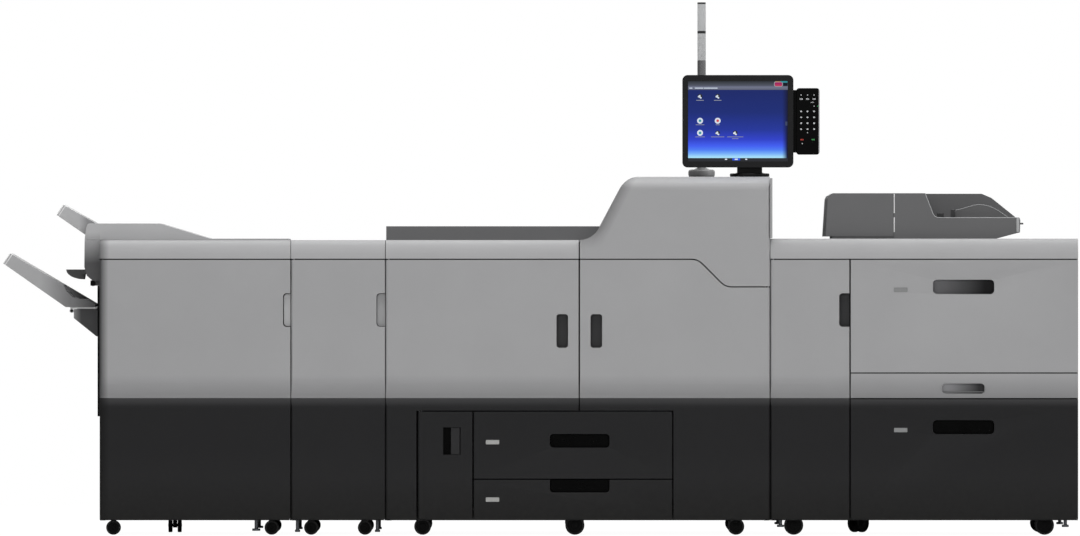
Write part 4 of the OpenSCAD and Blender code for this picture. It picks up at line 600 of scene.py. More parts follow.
def drawn(name: str, points: Sequence[Point], radius: float, thickness: float = 0.0) -> Piece:
    """Draw a round bead through points, or a flat plate with rounded rims inside them.

    Args:
        name: The piece's name.
        points: The points, in one upright plane for a plate.
        radius: Radius of the bead, or of the plate's rims.
        thickness: The plate's thickness; zero draws a bead.

    Returns:
        The piece.
    """
    clear()
    data = bpy.data.curves.new(name, "CURVE")
    line = data.splines.new("POLY")
    line.points.add(len(points) - 1)
    depth = points[0][1]
    for spot, point in zip(line.points, points):
        spot.co = (point[0], point[2], 0.0, 1.0) if thickness else (*point, 1.0)
    data.bevel_depth, data.bevel_resolution, data.use_fill_caps = radius, 2, True
    if thickness:
        data.dimensions, data.fill_mode, data.extrude = "2D", "BOTH", thickness / 2 - radius
        data.offset, line.use_cyclic_u = -radius, True
    else:
        data.dimensions = "3D"
    piece = bpy.data.objects.new(name, data)
    bpy.context.collection.objects.link(piece)
    focus(piece)
    bpy.ops.object.convert(target="MESH")
    piece = bpy.context.object
    if thickness:
        piece.data.transform(Matrix.Translation((0, depth, 0)) @ Matrix.Rotation(math.radians(90), 4, "X"))
    return piece


def pick(piece: Piece, test: FaceTest) -> None:
    """Enter edit mode with only the faces selected that pass a test.

    Args:
        piece: The piece to edit.
        test: Takes a face's middle and its normal.
    """
    focus(piece)
    bpy.ops.object.mode_set(mode="EDIT")
    bpy.ops.mesh.select_mode(type="FACE")
    bpy.ops.mesh.select_all(action="DESELECT")
    bpy.ops.object.mode_set(mode="OBJECT")
    for face in piece.data.polygons:
        face.select = test(face.center, face.normal)
    bpy.ops.object.mode_set(mode="EDIT")


def resize(piece: Piece, test: FaceTest, scale: Point, middle: Point) -> None:
    """Scale the faces that pass a test.

    Args:
        piece: The piece to shape.
        test: Takes a face's middle and its normal.
        scale: How much they grow along each axis.
        middle: The point that stays.
    """
    pick(piece, test)
    bpy.ops.transform.resize(value=scale, center_override=middle)
    bpy.ops.object.mode_set(mode="OBJECT")


def sink(piece: Piece, test: FaceTest, rim: float, move: Point, taper: float = 1.0) -> None:
    """Inset the faces that pass a test, and push the inner ones along.

    Args:
        piece: The piece to shape.
        test: Takes a face's middle and its normal.
        rim: Width of the rim that is left.
        move: How far the inner faces go.
        taper: Scale of the inner faces at the end.
    """
    pick(piece, test)
    if rim:
        bpy.ops.mesh.inset(thickness=rim, depth=0)
    bpy.ops.mesh.extrude_region_move(TRANSFORM_OT_translate={"value": move})
    if taper != 1.0:
        bpy.ops.transform.resize(value=(taper, taper, taper), center_override=chosen_middle(piece))
    bpy.ops.object.mode_set(mode="OBJECT")


def chosen_middle(piece: Piece) -> Vector:
    """Find the middle of the selected points of a piece in edit mode, and stay in edit mode.

    Args:
        piece: The piece being edited.

    Returns:
        The middle.
    """
    bpy.ops.object.mode_set(mode="OBJECT")
    chosen = [point.co.copy() for point in piece.data.vertices if point.select]
    bpy.ops.object.mode_set(mode="EDIT")
    return sum(chosen, Vector()) / len(chosen)


def split_at(piece: Piece, place: Point, normal: Point) -> None:
    """Split a piece's faces along a plane.

    Args:
        piece: The piece to split.
        place: A point of the plane.
        normal: The plane's normal.
    """
    focus(piece)
    bpy.ops.object.mode_set(mode="EDIT")
    bpy.ops.mesh.select_all(action="SELECT")
    bpy.ops.mesh.bisect(plane_co=place, plane_no=normal)
    bpy.ops.object.mode_set(mode="OBJECT")


def round_edges(piece: Piece, along: Point, radius: float, steps: int) -> Piece:
    """Round the edges that run along one direction.

    Args:
        piece: The piece to shape.
        along: The direction of the edges.
        radius: Radius of the rounding.
        steps: Segments of the rounding.

    Returns:
        The same piece.
    """
    focus(piece)
    bpy.ops.object.mode_set(mode="EDIT")
    bpy.ops.mesh.select_mode(type="EDGE")
    bpy.ops.mesh.select_all(action="DESELECT")
    bpy.ops.object.mode_set(mode="OBJECT")
    points = piece.data.vertices
    for edge in piece.data.edges:
        a, b = (points[i].co for i in edge.vertices)
        edge.select = abs((b - a).normalized().dot(Vector(along))) > 0.999
    bpy.ops.object.mode_set(mode="EDIT")
    bpy.ops.mesh.bevel(offset=radius, segments=steps, profile=0.5)
    bpy.ops.object.mode_set(mode="OBJECT")
    return piece


def plate(name: str, low: Point, high: Point, rounding: float, steps: int = 4) -> Piece:
    """Add a block between two corners and round the four edges that run from front to back."""
    return round_edges(block(name, low, high), BACKWARD, rounding, steps)


def button(name: str, middle: Span, ends: Span, radius: float, rim: float, dish: float,
           sides: int = CURVE_SIDES) -> Piece:
    """Add a round button that faces the front, with a rim round its sunk middle.

    Args:
        name: The piece's name.
        middle: X and Z of its axle.
        ends: Depth of its two ends.
        radius: Its radius.
        rim: Width of its rim.
        dish: Depth of its middle.
        sides: Faces round it.

    Returns:
        The button.
    """
    start, end = ((middle[0], y, middle[1]) for y in ends)
    piece = rod(name, start, end, radius, sides)
    sink(piece, looks_forward, rim, (0, dish, 0))
    return piece


def modify(piece: Piece, kind: str, **settings) -> Piece:
    """Add a modifier, set it and apply it.

    Args:
        piece: The piece to change.
        kind: Blender's name for the modifier.
        settings: Its properties.

    Returns:
        The same piece.
    """
    focus(piece)
    modifier = piece.modifiers.new(kind.lower(), kind)
    for name, value in settings.items():
        setattr(modifier, name, value)
    bpy.ops.object.modifier_apply(modifier=modifier.name)
    return piece


def combine(piece: Piece, tool: Piece, operation: str) -> None:
    """Cut a piece with a tool (DIFFERENCE), or add the tool to it (UNION), and drop the tool."""
    modify(piece, "BOOLEAN", operation=operation, object=tool, solver="EXACT", material_mode="TRANSFER")
    bpy.data.objects.remove(tool, do_unlink=True)


def even_shading(piece: Piece) -> Piece:
    """Let the large faces of a piece lead its shading."""
    return modify(piece, "WEIGHTED_NORMAL", keep_sharp=True, weight=80)


def soften(piece: Piece, width: float) -> Piece:
    """Round all sharp edges a little and shade by angle.

    Args:
        piece: The piece to finish.
        width: Width of the rounding, or zero to shade only.

    Returns:
        The same piece.
    """
    if width:
        modify(piece, "BEVEL", width=width, segments=2, limit_method="ANGLE",
               angle_limit=math.radians(33), use_clamp_overlap=True)
    focus(piece)
    bpy.ops.object.shade_smooth_by_angle(angle=math.radians(40))
    return even_shading(piece)


def merge(name: str, pieces: Iterable[Piece]) -> Piece:
    """Join pieces into one.

    Args:
        name: Name of the joined piece.
        pieces: The pieces, all of one body.

    Returns:
        The joined piece.
    """
    clear()
    pieces = list(pieces)
    for piece in pieces:
        piece.select_set(True)
    bpy.context.view_layer.objects.active = pieces[0]
    bpy.ops.object.join()
    pieces[0].name = pieces[0].data.name = name
    return pieces[0]


def repeat(name: str, pattern: Piece, moves: Iterable[Point]) -> Piece:
    """Copy a pattern to each of some places and join the copies.

    Args:
        name: Name of the joined piece.
        pattern: The piece to copy; it is used up.
        moves: How far each copy goes from the pattern.

    Returns:
        The joined piece.
    """
    copies = []
    for move in moves:
        copy = bpy.data.objects.new(name, pattern.data.copy())
        bpy.context.collection.objects.link(copy)
        copy.data.transform(Matrix.Translation(move))
        copies.append(copy)
    bpy.data.objects.remove(pattern, do_unlink=True)
    return merge(name, copies)


def solid_copy(node: str) -> Piece:
    """Copy a node's solid with its loose triangles merged and its flat faces whole.

    Args:
        node: The node to copy.

    Returns:
        The copy, named as the node's cover.
    """
    piece = bpy.data.objects.new(f"{node}_cover", frame["nodes"][node].data.copy())
    bpy.context.collection.objects.link(piece)
    piece.data.materials.clear()
    focus(piece)
    bpy.ops.object.mode_set(mode="EDIT")
    bpy.ops.mesh.select_all(action="SELECT")
    bpy.ops.mesh.remove_doubles(threshold=0.00002)
    bpy.ops.mesh.dissolve_limited(angle_limit=math.radians(0.4))
    bpy.ops.object.mode_set(mode="OBJECT")
    return piece


def dress(piece: Piece, finish: Finish) -> Piece:
    """Give all faces of a piece one finish.

    Args:
        piece: The piece to dress.
        finish: Its finish.

    Returns:
        The same piece.
    """
    piece.data.materials.clear()
    piece.data.materials.append(finish.material())
    return piece


def paint(piece: Piece, finish: Finish, test: FaceTest) -> None:
    """Give the faces that pass a test another finish.

    Args:
        piece: The dressed piece.
        finish: The other finish.
        test: Takes a face's middle and its normal.
    """
    piece.data.materials.append(finish.material())
    for face in piece.data.polygons:
        if test(face.center, face.normal):
            face.material_index = len(piece.data.materials) - 1


def second_tone(piece: Piece, finish: Finish, way: Point, level: float) -> None:
    """Give a cover another finish up to a level; its pockets and its black painted gap shade keep theirs.

    Args:
        piece: The cover.
        finish: The other finish.
        way: The direction that the level is measured along.
        level: The level.
    """
    split_at(piece, tuple(level * part for part in way), way)
    kept = [(face.index, face.material_index) for face in piece.data.polygons if face.material_index]
    paint(piece, finish, lambda c, n: c.dot(Vector(way)) < level)
    for index, own in kept:
        piece.data.polygons[index].material_index = own
    even_shading(piece)


@dataclass(frozen=True)
class Pocket:
    """A rounded pocket in the front of a cover, with sloping walls."""

    x: Span
    z: Span
    face: float
    lining: Finish
    radius: float = 0.01
    reach: Point = (0.0, 0.0, 0.0)  # how far it runs out of the cover's edge
    wall: Optional[Finish] = None  # finish of its walls, if not the lining
    filled: float = 0.0  # how far above the pocket's foot the cover's own pocket is filled up
    depth: float = 0.02
    slope: float = 0.0035
    spare: float = 0.0004  # how far the filling overlaps the cover

    def cut(self, piece: Piece, finish: Finish) -> None:
        """Fill up the cover's own square pocket and cut this one.

        Args:
            piece: The cover.
            finish: The cover's finish.
        """
        low = Vector((self.x[0], self.face, self.z[0]))
        high = Vector((self.x[1], self.face + self.depth, self.z[1]))
        reach = Vector(self.reach)
        grow = Vector([0.0 if way else self.spare for way in self.reach])
        plug = block("plug", low - Vector((self.spare, 0, self.spare - self.filled)), high + grow)
        combine(piece, dress(plug, finish), "UNION")
        tool = plate("cutter", low - Vector((0, 0.004, 0)), high - Vector((0, 0.0015, 0)) + reach, self.radius, 6)
        size, middle = high + reach - low, (low + high + reach) / 2
        narrow = (1 - 2 * self.slope / size.x, 1, 1 - 2 * self.slope / size.z)
        resize(tool, looks_back, narrow, (middle.x, high.y, middle.z))
        dress(tool, self.lining)
        if self.wall:
            paint(tool, self.wall, lambda c, n: n.y < FACING)
        combine(piece, tool, "DIFFERENCE")


@dataclass
class SubAssembly:
    """A part of the line that places its pieces on their bodies."""

    title: str = "part"
    placed: list[Piece] = field(default_factory=list)

    def place(self, piece: Piece, node: str, stands_for: bool = False) -> Piece:
        """Let a piece ride on a node's body.

        Args:
            piece: The finished piece.
            node: The node that it belongs to.
            stands_for: Whether it takes the node's place.

        Returns:
            The same piece.
        """
        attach(piece, BODY_OF[node])
        if stands_for:
            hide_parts(node)
        self.placed.append(piece)
        return piece

    def keep(self, finish: Finish, node: str) -> None:
        """Give a node that is shown as it is a finish.

        Args:
            finish: The finish.
            node: The node.
        """
        target = frame["nodes"][node]
        if not target.material_slots:
            target.data.materials.append(None)
        for slot in target.material_slots:
            slot.material = finish.material()

    def cover(self, node: str, finish: Finish, edge: float = 0.0012, pockets: Sequence[Pocket] = (),
              seats: Iterable[Piece] = (), face: Optional[float] = None) -> Piece:
        """Make a moulded cover from a node: rounded pockets, softened edges, its finish.

        Args:
            node: The node that it stands for.
            finish: Its finish.
            edge: Width of its softened edges.
            pockets: Its pockets.
            seats: Shapes that are cut out of it, such as a tag's seat.
            face: Place of its front face, if its sides are painted black as the shade in its gaps.

        Returns:
            The placed cover.
        """
        piece = dress(solid_copy(node), finish)
        # Painted shade: behind a thin front rim, the sides are black for the shade in the gaps round the cover.
        if face is not None:
            start, end = face + 0.0015, face + 0.0265
            split_at(piece, (0, start, 0), BACKWARD)
            paint(piece, Finish.SEAL, within(x=(-1.5115, 1.8495), y=(start, end), depthwise=0.3))
        for seat in seats:
            combine(piece, dress(seat, finish), "DIFFERENCE")
        for pocket in pockets:
            pocket.cut(piece, finish)
        soften(piece, edge)
        low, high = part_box(node)
        for point in piece.data.vertices:
            point.co = [min(max(value, least), most) for value, least, most in zip(point.co, low, high)]
        return self.place(piece, node, True)

    def add(self, piece: Piece, node: str, finish: Finish, edge: float = 0.0) -> Piece:
        """Finish a new piece, with softened edges of a given width, and place it beside a node."""
        return self.place(soften(dress(piece, finish), edge), node)

    def report(self) -> None:
        """Log each placed piece."""
        for piece in self.placed:
            log.info("%s: %s, %d faces", self.title, piece.name, len(piece.data.polygons))


# ---- sub-assemblies

@dataclass(frozen=True)
class Tag:
    """A blank tag on a drawer: its left side and foot, the drawer's face and its finish."""

    x: float
    z: float
    face: float
    finish: Finish
    width: float = 0.046
    height: float = 0.015

    def shape(self, name: str, spare: float = 0.0) -> Piece:
        """Model the tag, or the seat that it lies in.

        Args:
            name: The shape's name.
            spare: How much larger the seat is all round; zero for the tag itself.

        Returns:
            The tag or its seat.
        """
        front = self.face + (-0.004 if spare else 0.0003)
        return plate(name, (self.x - spare, front, self.z - spare),
                     (self.x + self.width + spare, self.face + 0.0015, self.z + self.height + spare), 0.0018 + spare)


TAGS = {"upper_paper_tray": Tag(-0.1852, 0.3118, ENGINE_FACE, Finish.TAG_ABS),
        "lower_paper_tray": Tag(-0.1852, 0.1145, ENGINE_FACE, Finish.TAG_ABS),
        "feeder_upper_drawer": Tag(1.218, 0.8353, MODULE_FACE, Finish.TAG_GREY),
        "feeder_lower_drawer": Tag(1.218, 0.3534, MODULE_FACE, Finish.TAG_GREY)}


@dataclass
class FrontCovers(SubAssembly):
    """Doors, drawers and trays of the front, with their pockets, tags and latch."""

    title: str = "front covers"
    engine_pockets: Span = (0.643, 0.76)  # foot and top of the pockets in the engine's doors
    module_pockets: Span = (0.715, 0.832)  # the same in the other doors
    side_reach: float = 0.02
    seat_gap: float = 0.0006

    def doors(self) -> None:
        """Make the five doors, light above the waist and charcoal below it."""
        low, high, out = self.engine_pockets, self.module_pockets, (self.side_reach, 0.0, 0.0)
        light, end = (Finish.LIGHT_ABS, Finish.DARK_ABS), (Finish.END_ABS, Finish.END_DARK_ABS)
        doors = (
            ("left_front_door", light, Pocket((0.057, 0.098), low, ENGINE_FACE, Finish.CUP_ABS)),
            ("right_front_door", light, Pocket((0.174, 0.215), low, ENGINE_FACE, Finish.CUP_ABS)),
            # The finisher pocket's walls are black painted shade; the pass door's pocket is lined a lighter grey than
            # the door, painted light that lifts its shade, with darker walls of painted shade.
            ("finisher_door", end,
             Pocket((-0.883, -0.857), high, MODULE_FACE, Finish.PALE_ABS, 0.012, out, Finish.SEAL)),
            ("pass_door", light,
             Pocket((-0.562, -0.531), high, MODULE_FACE, Finish.HOOD_ABS, 0.012, out, Finish.FEED_ABS)),
            ("feeder_door", light, Pocket((1.029, 1.065), high, MODULE_FACE, Finish.SIDE_GRIP, 0.012, out)))
        for node, (upper, lower), pocket in doors:
            second_tone(self.cover(node, upper, pockets=[pocket], face=pocket.face), lower, UPWARD, WAIST)

    def drawers(self) -> None:
        """Make the engine's trays, the feeder's drawers and the service door with its latch."""
        light, dark, gloss = Finish.LIGHT_ABS, Finish.DARK_ABS, Finish.GLOSS_BLACK
        # The grip pockets are lined with painted shade: black in the paper trays and the lower drawer, painted light
        # falling into shade in the upper and middle drawers.
        fronts = (
            ("upper_paper_tray", dark, Pocket((0.0345, 0.2405), (0.3, 0.348), ENGINE_FACE, gloss, 0.012)),
            ("lower_paper_tray", dark,
             Pocket((0.0345, 0.2405), (0.146, 0.19), ENGINE_FACE, gloss, 0.012, (0.0, 0.0, 0.02))),
            ("feeder_upper_drawer", light,
             Pocket((1.351, 1.563), (0.8275, 0.8785), MODULE_FACE, Finish.GRIP_ABS, 0.014)),
            ("feeder_middle_drawer", light,
             Pocket((1.3825, 1.5295), (0.4845, 0.5215), MODULE_FACE, Finish.MILD_GRIP, 0.012, filled=0.01)),
            ("feeder_lower_drawer", dark, Pocket((1.351, 1.563), (0.3465, 0.3955), MODULE_FACE, gloss, 0.014)))
        for node, finish, pocket in fronts:
            seats = [TAGS[node].shape("seat", self.seat_gap)] if node in TAGS else []
            self.cover(node, finish, pockets=[pocket], seats=seats, face=pocket.face)
        door = self.cover("service_door", dark, face=ENGINE_FACE)
        # Painted shade: the service door's recess is black.
        paint(door, gloss, within((-0.3325, -0.2715), (ENGINE_FACE + 0.002, math.inf), (0.2755, 0.3705)))
        self.cover("service_latch", Finish.LATCH_ABS, 0.0015)

    def tags(self) -> None:
        """Set a blank tag in the seat of each drawer front."""
        for node, tag in TAGS.items():
            film = tag.shape(f"{node}_tag")
            sink(film, looks_forward, 0.001, (0, 0.0003, 0))
            self.add(film, node, tag.finish)

    def build(self) -> None:
        """Build the front covers."""
        self.doors()
        self.drawers()
        self.tags()


@dataclass(frozen=True)
class Cabinet:
    """A cabinet: its frame's node, its sides, its back and the corners x0, z0, x1, z1 of its louvred window."""

    node: str
    x0: float
    x1: float
    back: float
    window: tuple[float, float, float, float]
    fold_front: float = -0.4198  # front of the folded strips above and below its doors
    screwed: bool = True  # whether its back cover shows its screws

    def outside(self, middle: Vector) -> bool:
        """Tell whether a face with this middle lies on the cabinet's sides or back."""
        edge = 0.0006
        return middle.x < self.x0 + edge or middle.x > self.x1 - edge or middle.y > self.back - edge


@dataclass
class Cabinets(SubAssembly):
    """Frames with painted side and back covers, louvres, screws, casters' forks and feet."""

    title: str = "cabinets"
    front: float = -0.42  # how far forward the frames' covered edges reach
    fin_step: float = 0.014
    screw_radius: float = 0.006

    def frame_cover(self, cabinet: Cabinet) -> None:
        """Dress a cabinet's frame: covers outside, bare coated sheet inside.

        Args:
            cabinet: The cabinet.
        """
        piece = solid_copy(cabinet.node)
        split_at(piece, (0, 0, WAIST), UPWARD)
        left, low, right, high = cabinet.window
        opening = block("window", (left, cabinet.back - 0.01, low), (right, cabinet.back + 0.01, high))
        combine(piece, opening, "DIFFERENCE")
        dress(piece, Finish.FRAME_PAINT)
        paint(piece, Finish.LIGHT_ABS, lambda c, n: c.z >= WAIST and cabinet.outside(c))
        # Painted light: the top strips and upward faces take the lighter grey.
        paint(piece, Finish.LIP_ABS, lambda c, n: c.z > 0.951 and (n.z > 0.2 or c.y < self.front))
        # Painted shade: the frame's front edges behind the door gaps are black.
        paint(piece, Finish.SEAL, lambda c, n: c.z < 0.949 and c.y < self.front + 0.006 and looks_forward(c, n))
        paint(piece, Finish.DARK_ABS, lambda c, n: c.z < WAIST and cabinet.outside(c))
        soften(piece, 0.0)
        self.place(piece, cabinet.node, True)

    def gap_shade_strips(self, cabinet: Cabinet) -> None:
        """Close the gaps above and below a cabinet's doors with folded black strips of painted shade.

        Args:
            cabinet: The cabinet.
        """
        left, right, y, fold = cabinet.x0 + 0.004, cabinet.x1 - 0.004, cabinet.fold_front, 0.0579
        lower = block("strip", (left, y, 0.0504), (right, y + 0.0013, 0.0856))
        pick(lower, looks_back)
        bpy.ops.mesh.bisect(plane_co=(0, 0, fold), plane_no=UPWARD)
        bpy.ops.object.mode_set(mode="OBJECT")
        sink(lower, lambda c, n: looks_back(c, n) and c.z < fold, 0, (0, 0.007, 0))
        upper = self.strip("strip", (left, y, 0.944), (right, y + 0.003, 0.9497))
        self.add(merge(f"{cabinet.node}_plinth", [lower, upper]), cabinet.node, Finish.SEAL)

    def strip(self, name: str, low: Point, high: Point) -> Piece:
        """Make a strip with a shallow groove in its front, which stands for the shade in a gap.

        Args:
            name: Its name.
            low: Its lowest corner.
            high: Its highest corner.

        Returns:
            The strip.
        """
        piece = block(name, low, high)
        width = min(high[0] - low[0], high[2] - low[2])
        sink(piece, looks_forward, width * 0.2, (0, width * 0.1, 0))
        return piece

    def gap_shades(self) -> None:
        """Put black strips behind the gaps between cabinets, doors and drawers, as painted shade."""
        spots = (("finisher_frame", (-0.8569, -0.418, 0.0504), (-0.8551, -0.41, 1.0135)),
                 ("pass_frame", (-0.5309, -0.418, 0.0504), (-0.5291, -0.41, 1.0135)),
                 ("feeder_frame", (0.7911, -0.418, 0.0504), (0.7929, -0.41, 1.0135)),
                 ("engine_frame", (0.129, -0.4236, 0.4295), (0.143, -0.4206, 0.9435)),
                 ("feeder_frame", (1.0605, -0.4196, 0.0575), (1.0686, -0.4166, 0.9435)),
                 ("feeder_frame", (1.0695, -0.4216, 0.5505), (1.8475, -0.4186, 0.5635)),
                 ("feeder_frame", (1.0695, -0.4216, 0.4605), (1.8475, -0.4186, 0.475)))
        for number, (node, low, high) in enumerate(spots):
            self.add(self.strip(f"gap_shade_strip_{number}", low, high), node, Finish.SEAL)

    def louvres(self, cabinet: Cabinet) -> None:
        """Fill a cabinet's window with slanted fins.

        Args:
            cabinet: The cabinet.
        """
        left, low, right, high = cabinet.window
        fin = block("fin", (left, cabinet.back - 0.011, low), (right, cabinet.back - 0.0008, low + 0.0025))
        pick(fin, looks_back)
        bpy.ops.transform.translate(value=(0, 0, 0.008))
        bpy.ops.object.mode_set(mode="OBJECT")
        count = int((high - low) / self.fin_step)
        fins = repeat(f"{cabinet.node}_louvres", fin, [(0, 0, i * self.fin_step + 0.002) for i in range(count)])
        self.add(fins, cabinet.node, Finish.SHADE_ABS)

    def screws(self, cabinet: Cabinet) -> None:
        """Put cross-head screws on a cabinet's back cover.

        Args:
            cabinet: The cabinet.
        """
        columns = (cabinet.x0 + 0.03, (cabinet.x0 + cabinet.x1) / 2, cabinet.x1 - 0.03)
        spots = [(x, cabinet.back, z) for z in (0.12, 0.44, 0.5, 0.97) for x in columns]
        x, y, z = spots[0]
        head = rod("head", (x, y, z), (x, y + 0.0022, z), self.screw_radius, 20)
        soften(head, 0.0009)
        for across, upright in ((0.0009, 0.0042), (0.0042, 0.0009)):
            slot = block("slot", (x - across, y + 0.0012, z - upright), (x + across, y + 0.004, z + upright))
            combine(head, slot, "DIFFERENCE")
        moves = [tuple(Vector(spot) - Vector(spots[0])) for spot in spots]
        self.add(repeat(f"{cabinet.node}_screws", head, moves), cabinet.node, Finish.ZINC)

    def build(self) -> None:
        """Build the cabinets."""
        for cabinet in (Cabinet("finisher_frame", -1.513, -0.857, 0.279, (-1.38, 0.6, -0.99, 0.78)),
                        Cabinet("pass_frame", -0.855, -0.531, 0.279, (-0.79, 0.6, -0.6, 0.78)),
                        Cabinet("engine_frame", -0.529, 0.791, 0.455, (0.16, 0.58, 0.6, 0.82), -0.4238, False),
                        Cabinet("feeder_frame", 0.793, 1.851, 0.279, (1.2, 0.6, 1.66, 0.78))):
            self.frame_cover(cabinet)
            self.gap_shade_strips(cabinet)
            self.louvres(cabinet)
            if cabinet.screwed:
                self.screws(cabinet)
        self.gap_shades()
        self.cover("caster_forks", Finish.HUB_ABS, 0.0)
        self.cover("levelling_feet", Finish.DARK_ZINC, 0.0012)


@dataclass
class EngineTop(SubAssembly):
    """Top of the engine: lip, rear deck, raised section, toner cover and bottles."""

    title: str = "engine top"
    bottle_radius: float = 0.048
    bottle_step: float = 0.104
    bottle_ribs: int = 9
    rib_step: float = 0.04
    rib_width: float = 0.006

    def build(self) -> None:
        """Build the engine's top."""
        # The lip takes the lighter grey of painted light.
        self.cover("left_top_cover", Finish.LIP_ABS, 0.001)
        # The raised section and the toner cover carry the painted shade of the left flank.
        self.cover("hump_shell", Finish.HUMP_ABS, 0.0005)
        toner = self.cover("toner_cover", Finish.HUMP_ABS, 0.0005)
        for point in toner.data.vertices:
            point.co.x += 0.0008 if point.co.x > 0.7903 else 0.0
        deck = self.cover("rear_deck", Finish.DECK_ABS, 0.003)
        groove = block("groove", (-0.5, -0.28, 1.0605), (0.2, 0.43, 1.07))
        combine(deck, round_edges(groove, UPWARD, 0.02, 6), "DIFFERENCE")
        self.bottles()

    def bottles(self) -> None:
        """Make four ribbed toner bottles, one for each colour."""
        low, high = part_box("toner_bottles")
        radius = self.bottle_radius
        parts = []
        for number, finish in enumerate((Finish.TONER_BLACK, Finish.TONER_CYAN, Finish.TONER_MAGENTA,
                                         Finish.TONER_YELLOW)):
            x, z = high[0] - radius - number * self.bottle_step, high[2] - radius
            body = rod("bottle", (x, low[1] + 0.014, z), (x, high[1], z), radius)
            for rib in range(self.bottle_ribs):
                y = low[1] + 0.06 + rib * self.rib_step
                split_at(body, (0, y, 0), BACKWARD)
                split_at(body, (0, y + self.rib_width, 0), BACKWARD)
                resize(body, within(y=(y, y + self.rib_width), depthwise=0.5), (0.95, 1, 0.95), (x, y, z))
            cap = button("cap", (x, z), (low[1], low[1] + 0.0142), radius / 2, 0.004, 0.004)
            parts += [soften(dress(body, finish), 0.0), soften(dress(cap, Finish.KEY_GREY), 0.001)]
        self.place(merge("toner_bottle_set", parts), "toner_bottles", True)


